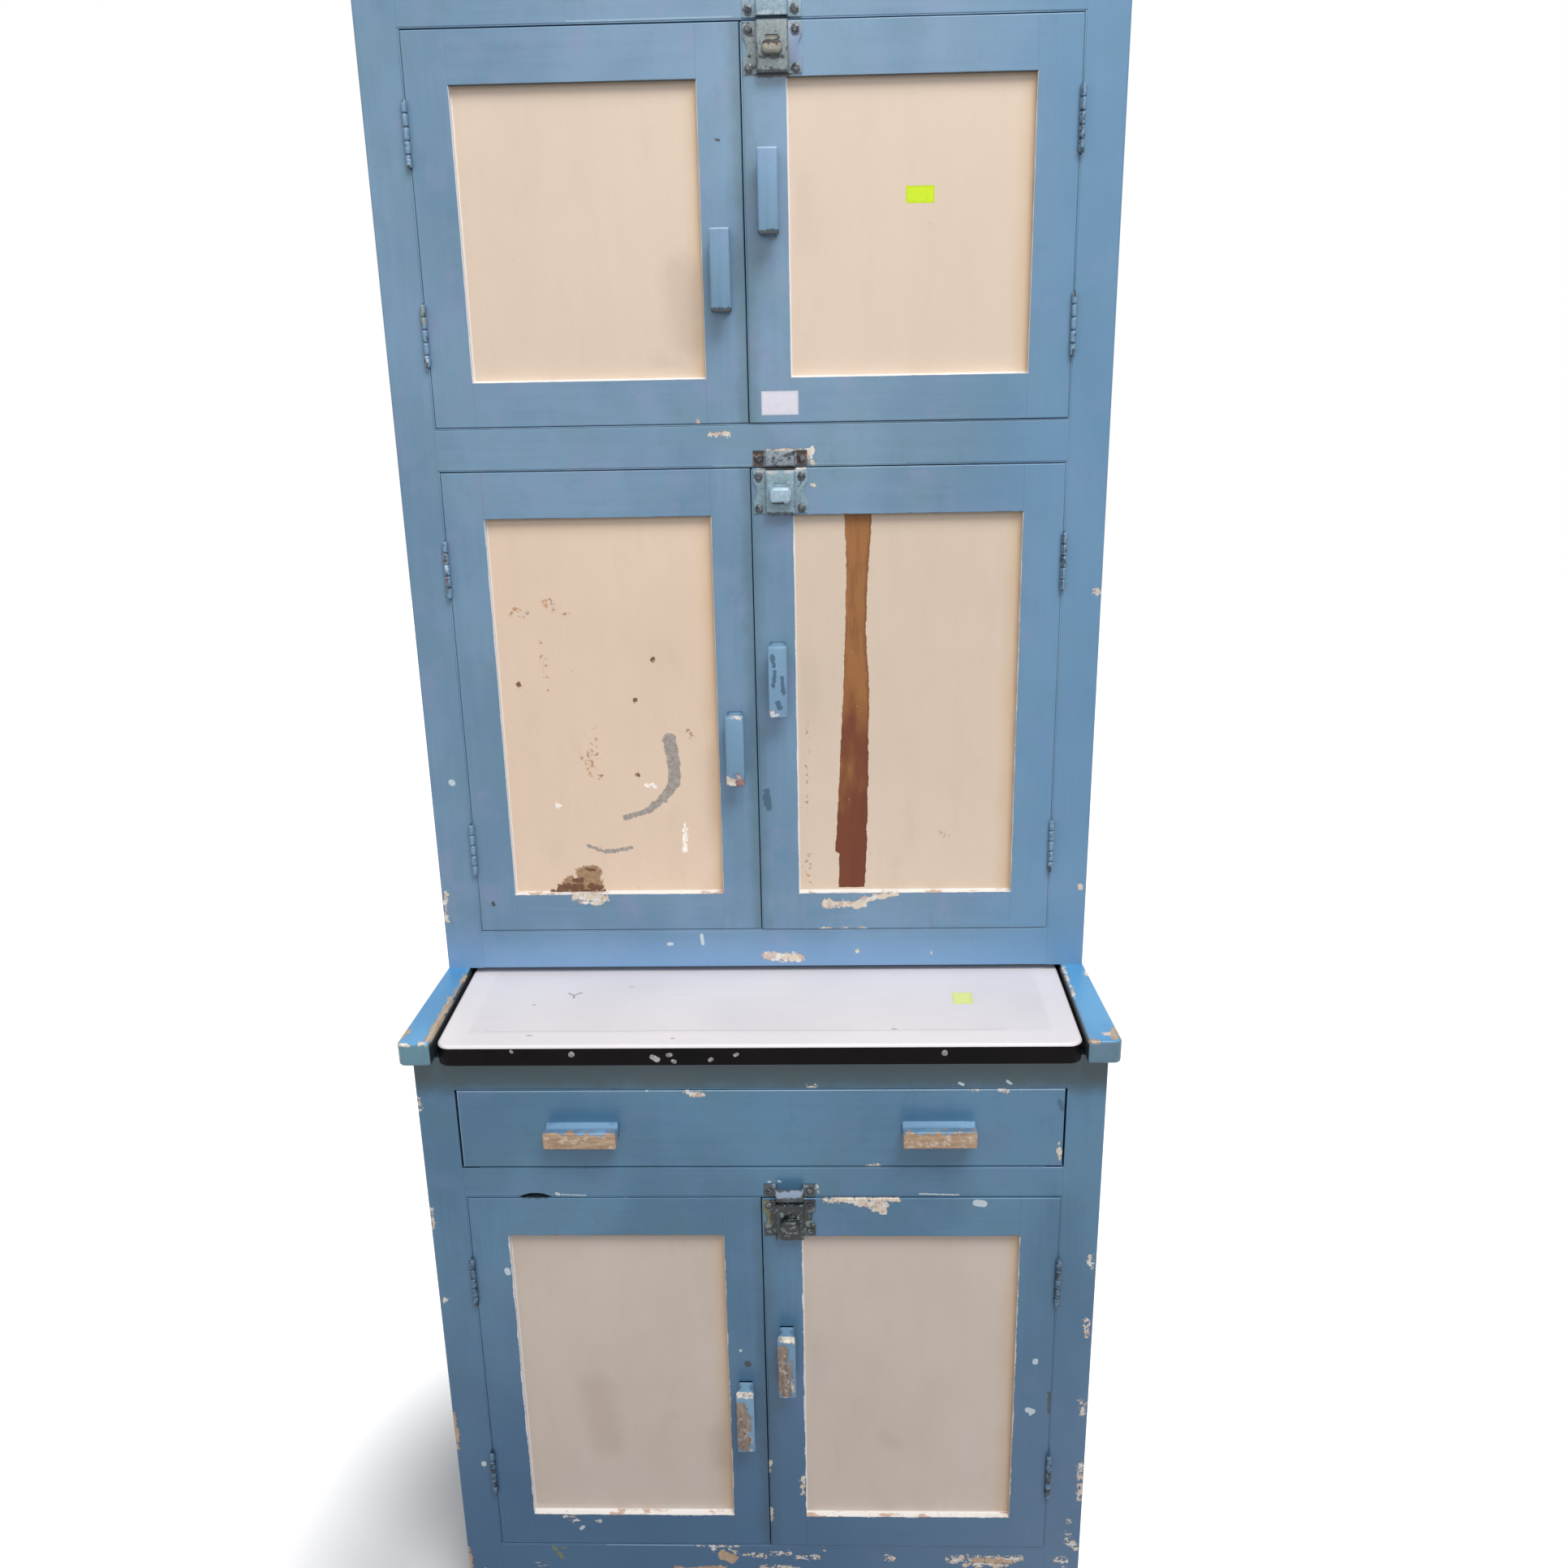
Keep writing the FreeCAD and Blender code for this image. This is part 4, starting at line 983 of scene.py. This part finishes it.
def openingRidges(face, foot, top, half, uprightCuts, topCuts, settings):
    # thick old paint lines an opening in the face frame, and stops short at the hinges and the worn notch;
    # the drawer's opening has none at its sides
    thick, wide, soft = settings["thick"], settings["hingeThick"], settings["soft"]
    near, far = face + settings["start"], face + settings["depth"]
    drawer = uprightCuts is None
    footTop = foot + (thick if drawer else settings["footThick"])
    footEnd = settings["drawerFoot"] if drawer else half
    ends = [] if drawer else [footTop, *uprightCuts, top - thick]
    levels = ((foot, footTop, (-footEnd, footEnd)), (top - thick, top, (-half, *topCuts, half)))
    parts = []
    for low, high in zip(ends[::2], ends[1::2]):
        for start in (-half, half - wide):
            parts.append(board((start, near, low), (start + wide, far, high), "z", soft))
    for lower, upper, ends in levels:
        for low, high in zip(ends[::2], ends[1::2]):
            parts.append(board((low, near, lower), (high, far, upper), "x", soft))
    return parts


def addRidges(settings):
    # ridges round the openings, and a bead along the meeting edge of each right door
    hinges = softened("hinge_frame_leaves", settings["soft"])[1]
    apart, gap, ridges = settings["hingeApart"], settings["gap"], {"hutch": [], "base": []}
    half = boxOf("upper_right_door_frame")[1][0] + gap
    beadChips = {"lower": doorWear["lower_right"]["chips"][3:5]}
    gradings = {"hutch": (), "base": [deepBlue]}
    for row, face in rows.items():
        low, high = boxOf(row + "_left_door_frame")
        cuts = sorted(end for leaf in hinges if leaf[0][0] < 0 and low[2] < leaf[0][2] < high[2]
                      for end in (leaf[0][2] - apart, leaf[1][2] + apart))
        ridges[tones[row]] += openingRidges(face, low[2] - gap, high[2] + gap, half, cuts,
                                            settings["notch"] if row == "lower" else (), settings)
        low, high = boxOf(row + "_right_door_frame")
        near, end = low[1] + 2 * settings["start"], settings["meetingEnd"]
        bead = board((low[0] - settings["thick"], near, low[2] + end),
                     (low[0] + settings["meetingLap"], low[1] + settings["meetingDepth"], high[2] - end),
                     "z", settings["soft"])
        addPiece(row + "_meeting_ridge", [bead], row + "_right_door", bluePaint(
            row + "MeetingPaint", tones[row], low[1], graded=gradings[tones[row]],
            chips=beadChips.get(row, ())))
    low, high = boxOf("drawer_front")
    ridges["base"] += openingRidges(baseFace, low[2] - gap, high[2] + gap, half, None, (), settings)
    for part, parts in ridges.items():
        addPiece(part + "_paint_ridges", parts, "carcass",
                 bluePaint(part + "RidgePaint", part, graded=gradings[part]))


addRidges(ridgeSettings)
bareBoards = {
    bareWood("plainWoodX", "x"): (
        "base_bottom_board", "drawer_back", "worktop_board", "hutch_floor_board", "hutch_divider_board",
        "shelves", "door_stops", "worktop_stop_batten"),
    bareWood("plainWoodY", "y"): ("drawer_runners", "worktop_runners", "drawer_sides", "shelf_cleats"),
    hardboard("backHardboard"): ("base_back_panel", "hutch_back_panel", "drawer_bottom"),
}
for material, nodeNames in bareBoards.items():
    for nodeName in nodeNames:
        dress(nodeName, material)
print("carcass finished")

pullSettings = {
    "length": 81.0, "out": 26.0, "foot": 9.0, "waist": 4.2, "waistOut": 9.0, "front": 10.5, "lip": 9.0,
    "soft": 2.0, "corners": (0.4, 3.6, 1.6),
}


def pullRing(face, settings):
    # across and out: a wide foot, a narrow waist and a wide flat front
    out, foot, waist, front, lip = (settings[key] for key in ("out", "foot", "waist", "front", "lip"))
    half = [(foot, face), (waist, face - settings["waistOut"]), (front, face - out + lip),
            (front, face - out)]
    radii = [*settings["corners"], settings["soft"]]
    return filletRing(half + [(-x, y) for x, y in half[::-1]], radii + radii[::-1], 5)


def makePull(centreX, face, centreZ, along, settings):
    ring = pullRing(face, settings)
    half, soft = settings["length"] / 2, settings["soft"]
    if along == "z":
        return carry(ring + np.array([centreX, 0]), "z", softEnds(centreZ - half, centreZ + half, soft))
    lying = np.stack([ring[:, 1], ring[:, 0] + centreZ], axis=1)
    return carry(lying, "x", softEnds(centreX - half, centreX + half, soft))


dirtyWood = ((0.125, 0.085, 0.062), (0.270, 0.205, 0.160), (0.50, 0.43, 0.39))
pullWear = {
    # on the upper pulls, the dark stroke along the foot is painted shade and the thinned one along the top a
    # painted highlight
    "upper_left": {"dark": [(-36, 1554.2, -14, 1554.2, 3.0)], "thinnedAndLit": [(-35, 1632.6, -15, 1632.6, 0.9)]},
    "upper_right": {"dark": [(14, 1627.2, 36, 1627.2, 3.0)], "thinnedAndLit": [(15, 1705.6, 35, 1705.6, 0.9)]},
    "middle_left": {
        "chips": [(-33, 1051, -28, 1049, 4.5), (-32, 1124, -18, 1124.5, 1.5)],
        "worn": [(-22, 1056, -18, 1048, 4.4)],
        "wornTones": ((0.18, 0.055, 0.055), (0.33, 0.16, 0.14), (0.52, 0.4, 0.36)),
    },
    "middle_right": {
        "old": [
            (20, 1194, 21, 1183, 2.4), (22, 1176, 20, 1160, 2.2), (30, 1170, 31, 1152, 2.2),
            (25, 1141, 27, 1136, 3)],
        "chips": [(18, 1131, 20, 1129, 2.4)],
    },
    "lower_left": {
        "worn": [(-30, 334, -29, 276, 6.5), (-22, 318, -24, 272, 3.4)], "wornTones": dirtyWood,
        "chips": [
            (-33, 346.5, -17, 346.5, 1.4), (-34, 312, -33, 274, 1.8), (-26, 272, -20, 270, 2.2),
            (-21, 300, -20, 282, 1.6)],
    },
    "lower_right": {
        "worn": [(20, 416, 21, 356, 6.5), (28, 396, 26, 352, 3.4)], "wornTones": dirtyWood,
        "chips": [
            (17, 426.5, 33, 426.5, 1.4), (16, 410, 17, 364, 1.8), (20, 352, 24, 350, 2.4),
            (30, 372, 31, 358, 1.8)],
    },
}
for door, wear in pullWear.items():
    nodeName = door + "_door_pull"
    low, high = boxOf(nodeName)
    pull = makePull((low[0] + high[0]) / 2, high[1], (low[2] + high[2]) / 2, "z", pullSettings)
    addPiece(door + "_pull", [pull], door + "_door", bluePaint(door + "PullPaint", "pulls", low[1], **wear),
             (nodeName,))
drawerPullWear = {
    "worn": [(-236, 690, -164, 689, 10.5), (164, 689, 234, 690, 10.5)],
    "chips": [(-236, 692, -233, 684, 3.5), (-186, 690, -182, 688, 3), (160, 690, 164, 684, 3),
              (214, 697, 226, 697, 2), (228, 686, 233, 690, 3)],
    "graded": [("z", 699.5, 700.8, 0.6, (0.075, 0.170, 0.300))],
    # the dark strokes along the drawer pulls' feet are painted shade
    "dark": [(-234, 679.6, -166, 679.6, 1.2), (164, 679.6, 232, 679.6, 1.2)],
    "wornTones": ((0.30, 0.180, 0.105), (0.46, 0.315, 0.200), (0.56, 0.45, 0.36)),
}
low, high = boxOf("drawer_pulls")
middleX = high[0] - pullSettings["length"] / 2
addPiece("drawer_pull_pair", [makePull(side * middleX, high[1], (low[2] + high[2]) / 2, "x", pullSettings)
                              for side in (-1, 1)], "drawer",
         bluePaint("drawerPullPaint", "pulls", low[1], along="x", **drawerPullWear),
         ("drawer_pulls",))
print("pulls made")

# the enamelled worktop
enamelSettings = {
    "halfWide": 351.5, "front": -214.25, "back": 221.75, "top": 800.9, "foot": 776.9, "corner": 16.0,
    "roll": 3.2, "split": 798.5,
    "crease": [(-304, -180.5, -60, -179.5, 0.5), (-60, -179.5, 110, -181, 0.5), (110, -181, 272, -180, 0.5)],
    "marks": [(-226, -88, -219, -93, 1.2), (-219, -93, -211, -86, 1.2), (-219, -93, -218, -100, 1.2)],
    "dabs": [
        (-254, -190, -250, -190, 1.6), (-94, -198, -92, -198, 1.6), (148, -179, 151, -179, 1.8),
        (-262, -116, -259, -117, 1.2), (-156, -72, -151, -71, 1.2)],
    "lipChips": [
        (-114, 787, -109, 784, 3.2), (-97, 789, -94, 790, 2.2), (-92, 782, -90, 781, 2),
        (-52, 783, -50, 784, 2), (-24, 789, -22, 790, 1.8), (-268, 795, -267, 794, 1.6)],
    "label": {
        "x": 231.5, "z": -105.5, "halfWide": 11.5, "halfTall": 14.5, "tint": (0.66, 0.74, 0.27),
        "plane": "xy",
    },
    "hem": 0.55,
}


def enamelSheet(settings):
    # a profile of (inset, height) pairs carried round a rounded rectangle; the ring at each inset is
    # the same rectangle made smaller, with its corner radius cut down by as much
    roll, top, foot, hem = (settings[key] for key in ("roll", "top", "foot", "hem"))
    turn, fold = np.linspace(0, np.pi / 2, 7), np.linspace(0, np.pi, 5)
    profile = [(60.0, top), (30.0, top), (12.0, top - 0.05), (roll + 2.5, top),
               *zip(roll * (1 - np.sin(turn)), top - roll * (1 - np.cos(turn))), (0.0, foot + 1.2),
               *zip(hem * (1 - np.cos(fold)), foot + hem * (1 - np.sin(fold))),
               (2 * hem, foot + 3), (2 * hem, top - 4.0)]
    rings = []
    for inset, height in profile:
        wide = settings["halfWide"] - inset
        front, back = settings["front"] + inset, settings["back"] - inset
        corners = [(-wide, front), (wide, front), (wide, back), (-wide, back)]
        ring = filletRing(corners, max(settings["corner"] - inset, 1.5), 8)
        rings.append(np.column_stack([ring, np.full(len(ring), height)]))
    points, faces = np.concatenate(rings), skin(len(rings), len(rings[0]), flip=True)
    heights = points[[min(face) for face in faces], 2]
    return points, faces, (heights < settings["split"]).astype(int)


def layEnamel(settings):
    middle = (settings["front"] + settings["back"]) / 2
    edge = (0.0, middle, settings["halfWide"], (settings["back"] - settings["front"]) / 2)
    finishes = [enamelFinish("whiteEnamel", edge, settings), blackEnamel("blackLip", settings["lipChips"])]
    addPiece("enamel_top", [enamelSheet(settings)], "worktop", finishes, ("worktop_enamel",), 50)


layEnamel(enamelSettings)
print("worktop enamelled")

# catches, hinges and screws
catchSettings = {
    "soft": 0.4, "headTall": 1.7, "boltSoft": 0.5, "plateThick": 8.9, "neckHalf": (6.0, 4.0),
    "neckDrop": 26.0, "thumbOut": (11.6, 19.8), "thumbCorner": {"upper": 5.4, "middle": 6.5, "lower": 6.5},
    "thumbHalf": {"upper": (10.5, 6.2), "middle": (12.3, 9.2), "lower": (11.0, 9.0)},
    "thumbDrop": {"upper": 24.5, "middle": 26.0, "lower": 26.0}, "thumbDome": 4.6,
    "slotTurns": {
        "upper": (20, 75, 140, 100), "middle": (35, 60, 150, 15), "lower": (80, 10, 55, 120),
        "keepers": (10, 60, 35, 120, 80, 150), "worktop": (25, 110),
    },
}
# the grime marks on catches, keepers, thumbs and hinges are partly dirt and partly painted shade: under the
# catch cases, in the gaps by the keepers, in the thumbs' hollows and at the hinge ends
metalLooks = {
    "catchMetalUpper": {
        "paint": (0.185, 0.225, 0.23), "rust": 0.3, "paintLeft": 0.85, "tintAt": [(54, 1812, 55, 1782, 6)],
        "sideTint": (0.195, 0.26, 0.42),
        "grimeAndShadeAt": [(20, 1788, 42, 1788, 1.6), (18, 1775.4, 45, 1775.4, 1.6), (17, 1800, 17, 1780, 0.4)],
    },
    "catchMetalMiddle": {
        "paint": (0.185, 0.275, 0.32), "rust": 0.15, "paintLeft": 0.95,
        "paleAt": [(8, 1391, 26, 1391, 2), (38, 1391, 54, 1392, 2)],
        "grimeAndShadeAt": [(18, 1347.4, 45, 1347.4, 1.2)],
    },
    "catchMetalLower": {
        "paint": (0.15, 0.195, 0.19), "rust": 0.12, "paintLeft": 0.24, "grime": (0.008, 0.011, 0.014),
        "coarse": 8.0, "tintAt": [(3, 596, 4, 572, 5), (28, 575, 38, 575, 3)],
        "grimeAndShadeAt": [(17, 597, 46, 597, 1.4), (17, 590, 18, 560, 1.6), (22, 556, 44, 556, 2.5)],
    },
    "keeperMetalUpper": {
        "paint": (0.205, 0.29, 0.345), "rust": 0.05, "paintLeft": 1.0,
        "paleAt": [(17, 1826.4, 46, 1826.4, 1.2)], "paleTint": (0.4, 0.5, 0.54),
    },
    "keeperMetalMiddle": {
        "paint": (0.2, 0.24, 0.27), "rust": 0.3, "paintLeft": 0.7,
        "rustAt": [(7, 1398, 8, 1411, 6), (55, 1398, 55, 1411, 6.5)],
        "grimeAndShadeAt": [
            (18, 1397, 45, 1397, 0.8), (4, 1411, 13, 1411, 1.8), (13, 1400, 13, 1410, 0.8),
            (50, 1411, 59, 1411, 2.2), (50, 1400, 50, 1410, 1.0), (38, 1408, 46, 1410, 1.8)],
    },
    "keeperMetalLower": {
        "paint": (0.055, 0.07, 0.075), "rust": 0.1, "paintLeft": 0.6, "coarse": 9.0,
        "paleAt": [(21, 613, 42, 614, 4.6), (14, 619, 18, 615, 1.6), (47, 618, 51, 617, 1.4)],
        "paleTint": (0.29, 0.37, 0.5), "grimeAndShadeAt": [(17, 605, 22, 606, 2.0), (40, 605, 46, 606, 2.2)],
    },
    "thumbMetalUpper": {
        "paint": (0.255, 0.255, 0.215), "rust": 0.15, "paintLeft": 0.95,
        "rustAt": [(26, 1799.5, 38, 1799.5, 1.6)], "grimeAndShadeAt": [(22, 1801.0, 41, 1801.0, 2.6)],
    },
    "thumbMetalMiddle": {
        "paint": (0.3, 0.42, 0.5), "rust": 0.0, "paintLeft": 1.0, "grimeAndShadeAt": [(24, 1358.5, 34, 1358.5, 1.8)],
    },
    "thumbMetalLower": {
        "paint": (0.15, 0.18, 0.165), "rust": 0.25, "paintLeft": 0.34, "grime": (0.01, 0.013, 0.014),
        "coarse": 7.0,
    },
    "hingePaintHutch": {
        "paint": (0.145, 0.255, 0.37), "rust": 0.24, "paintLeft": 0.78, "grime": (0.026, 0.045, 0.065),
        "rustAt": [(-337, 1312, -337, 1300, 1.4), (-337, 1286, -337, 1272, 1.4)],
        "paleAt": [
            (-337, 1296, -337, 1290, 1.6), (-337, 1515, -337, 1504, 1.4), (-337, 1703, -337, 1698, 1.4)],
        "paleTint": (0.46, 0.56, 0.66), "tintAt": [(-337, 1566, -337, 1548, 1.4)],
        "sideTint": (0.24, 0.26, 0.13),
        "grimeAndShadeAt": [
            (-337, 1698.5, -337, 1695, 1.6), (-337, 1766, -337, 1758, 0.8), (-337, 1508, -337, 1503, 1.2),
            (335.6, 1762, 335.6, 1697, 0.7), (337, 1700, 337, 1695, 2), (337, 1569, 336, 1563, 1.2),
            (337, 1509, 337, 1503, 1.4), (335.6, 1322, 335.6, 1260, 0.8), (336, 936, 336, 930, 1.6)],
    },
    "hingePaintBase": {
        "paint": (0.08, 0.155, 0.245), "rust": 0.4, "paintLeft": 0.5, "grime": (0.01, 0.018, 0.028),
        "coarse": 9.0, "paleAt": [(-337, 514, -337, 464, 1.2)], "paleTint": (0.06, 0.14, 0.225),
    },
    "screwMetal": {
        "paint": (0.15, 0.16, 0.175), "rust": 0.35, "paintLeft": 0.5, "grime": (0.018, 0.02, 0.026),
    },
    "lipScrewMetal": {"paint": (0.27, 0.245, 0.25), "rust": 0.05, "paintLeft": 0.9},
}


def metal(name, boxes=()):
    # dark rings beside the screws whose boxes are given, set down and to the left of each head: painted
    # shadows of the heads
    look = metalLooks[name]
    rings = [((low[0] + high[0]) / 2 - 1.0, (low[2] + high[2]) / 2 - 1.2, (low[0] + high[0]) / 2 - 0.4,
              (low[2] + high[2]) / 2 - 2.6, (high[0] - low[0]) / 2 + 1.0) for low, high in boxes]
    return oldMetal(name, **{**look, "grimeAndShadeAt": look.get("grimeAndShadeAt", []) + rings})


screwMetal = metal("screwMetal")
hingeMetals = [metal("hingePaintHutch"), metal("hingePaintBase")]


def screwHeads(boxes, turns, tall, kind):
    # a slotted head over each box, its slot turned a different way each time
    return [dyed(slottedHead((low[0] + high[0]) / 2, low[1] + tall, (low[2] + high[2]) / 2,
                             (high[0] - low[0]) / 2, tall, turn), kind)
            for (low, high), turn in zip(boxes, turns)]


def makeCatch(row, settings):
    soft = settings["soft"]
    cases, boxes = softened(row + "_catch_case", soft)
    heads = screwHeads(boxes, settings["slotTurns"][row], settings["headTall"], 1)
    addPiece(row + "_catch", cases + heads, row + "_right_door",
             [metal("catchMetal" + row.title(), boxes), screwMetal], (row + "_catch_case",))
    low, high = boxOf(row + "_catch_bolt")
    face, caseTop = boxOf(row + "_right_door_frame")[0][1], boxOf(row + "_catch_case")[1][2]
    middleX, middleZ = (low[0] + high[0]) / 2, caseTop - settings["thumbDrop"][row]
    neckMiddle, (neckX, neckZ) = caseTop - settings["neckDrop"], settings["neckHalf"]
    halfX, halfZ = settings["thumbHalf"][row]
    back, front = (face - out for out in settings["thumbOut"])
    corners = [(middleX - halfX, middleZ - halfZ), (middleX + halfX, middleZ - halfZ),
               (middleX + halfX, middleZ + halfZ), (middleX - halfX, middleZ + halfZ)]
    dome = softEnds(front, 2 * back - front, settings["thumbDome"], 6)
    dome = np.concatenate([dome[dome[:, 0] < back], [[back, soft]]])
    thumb = carry(filletRing(corners, settings["thumbCorner"][row], 6), "y", dome)
    neck = board((middleX - neckX, back - 1, neckMiddle - neckZ),
                 (middleX + neckX, face - 5, neckMiddle + neckZ), "y", soft)
    plate = board((low[0], high[1] - settings["plateThick"], low[2]), high, "z", settings["boltSoft"])
    addPiece(row + "_bolt_and_thumb", [plate, neck, thumb], row + "_bolt", metal("thumbMetal" + row.title()),
             (row + "_catch_bolt",))


for row in rows:
    makeCatch(row, catchSettings)
keepers, boxes = softened("catch_keepers", catchSettings["soft"])
keepers.sort(key=lambda keeper: -keeper[0][:, 2].max())
keepers = [dyed(keeper, kind) for kind, keeper in enumerate(keepers)]
heads = screwHeads(boxes, catchSettings["slotTurns"]["keepers"], catchSettings["headTall"], len(keepers))
keeperMetals = [metal("keeperMetal" + row.title(), boxes) for row in rows]
addPiece("keepers", keepers + heads, "carcass", keeperMetals + [screwMetal],
         ("catch_keepers",))

hingeSettings = {
    "radius": 3.2, "count": 5, "play": 0.8, "round": 1.5, "sheet": 0.9, "sheetSoft": 0.25,
    "frameSheet": 0.1, "doorSheet": -1.0,
}


def hingeLeaf(low, high, first, sheetAt, settings):
    # a flat leaf in the gap beside the door, and every second turn round the pin: a circle carried
    # upwards, drawn in along a quarter circle at both ends
    radius, play = settings["radius"], settings["play"]
    middleX, middleY = (low[0] + high[0]) / 2, low[1] + radius
    turn = np.linspace(0, 2 * np.pi, 25)[:-1]
    circle = np.stack([middleX + radius * np.cos(turn), middleY + radius * np.sin(turn)], axis=1)
    pitch = (high[2] - low[2]) / settings["count"]
    side = np.sign(middleX)
    near, far = sorted((middleX + side * sheetAt, middleX + side * (sheetAt + settings["sheet"])))
    parts = [board((near, middleY + radius + play, low[2]), (far, high[1], high[2]), "z",
                   settings["sheetSoft"])]
    for number in range(first, settings["count"], 2):
        start = low[2] + number * pitch + play / 2
        end = start + pitch - play
        parts.append(carry(circle, "z", softEnds(start, end, settings["round"], 3)))
        parts.append(board((near, middleY, start + 1), (far, middleY + radius + play + 1, end - 1), "z",
                           settings["sheetSoft"]))
    return parts


def makeHinges(nodeName, body, first, sheetAt, settings):
    parts = []
    for low, high in softened(nodeName, settings["sheetSoft"])[1]:
        kind = int(low[1] < (hutchFace + baseFace) / 2)
        parts += [dyed(part, kind) for part in hingeLeaf(low, high, first, sheetAt, settings)]
    addPiece(nodeName + "_worn", parts, body, hingeMetals, (nodeName,))


makeHinges("hinge_frame_leaves", "carcass", 0, hingeSettings["frameSheet"], hingeSettings)
for door in doorWear:
    makeHinges(door + "_door_hinge_leaves", door + "_door", 1, hingeSettings["doorSheet"], hingeSettings)
dress("hinge_pins", screwMetal)
heads = screwHeads(softened("worktop_screws", catchSettings["soft"])[1],
                   catchSettings["slotTurns"]["worktop"], catchSettings["headTall"], 0)
addPiece("worktop_screw_heads", heads, "worktop", metal("lipScrewMetal"), ("worktop_screws",))
print("metalwork finished")


def seenDirectly():
    # 1 where it is looked at, also in a mirror or through glass, and 0 where light bounces off it
    rays = addNode("ShaderNodeLightPath").outputs
    camera, glossy, through = (
        Field(rays["Is " + kind + " Ray"]) for kind in ("Camera", "Glossy", "Transmission"))
    return greater(camera, greater(glossy, through))


def layFloor(settings):
    half, tone = settings["floorSize"] / 2, settings["floorColour"]
    mesh = bpy.data.meshes.new("floor")
    corners = [(-half, -half, 0), (half, -half, 0), (half, half, 0), (-half, half, 0)]
    mesh.from_pydata(corners, [], [(0, 1, 2, 3)])
    floor = bpy.data.objects.new("floor", mesh)
    scene.collection.objects.link(floor)
    material = newMaterial("paleFloor")
    mesh.materials.append(material)
    direct, given = seenDirectly(), material.node_tree.nodes
    low, high, bounced = ((tone * part,) * 3 for part in (
        1 - settings["fleck"], 1 + settings["fleck"], settings["bounce"]))
    colour = blend(direct, bounced, blend(clouds(400, 3), low, high))
    feed(given["Principled BSDF"], {"Base Color": colour, "Roughness": 0.9, "Specular IOR Level": 0.0})
    # the glow fades towards shadowMiddle: a painted shade by the cabinet's left side, over its real shadow
    away = vectorSum("DISTANCE", place(), settings["shadowMiddle"])
    strength = field("ShaderNodeMapRange", {
        0: away, 1: settings["reach"][0], 2: settings["reach"][1], 3: settings["nearGlow"],
        4: settings["farGlow"]}, interpolation_type="SMOOTHSTEP")
    glow = field("ShaderNodeEmission", {"Strength": direct * strength})
    both = field("ShaderNodeAddShader", {0: Field(given["Principled BSDF"].outputs[0]), 1: glow})
    feed(given["Material Output"], {"Surface": both})


def lightWorld(settings):
    world = bpy.data.worlds.new("room")
    scene.world = world
    world.use_nodes = True
    inWork["tree"] = world.node_tree
    fill = settings["fill"]
    feed(world.node_tree.nodes["Background"], {
        "Color": blend(seenDirectly(), (fill, fill, fill * settings["fillBlue"]), (1, 1, 1))})


layFloor(roomSettings)
lightWorld(roomSettings)
scene.view_settings.view_transform = "Standard"

print("scene ready")
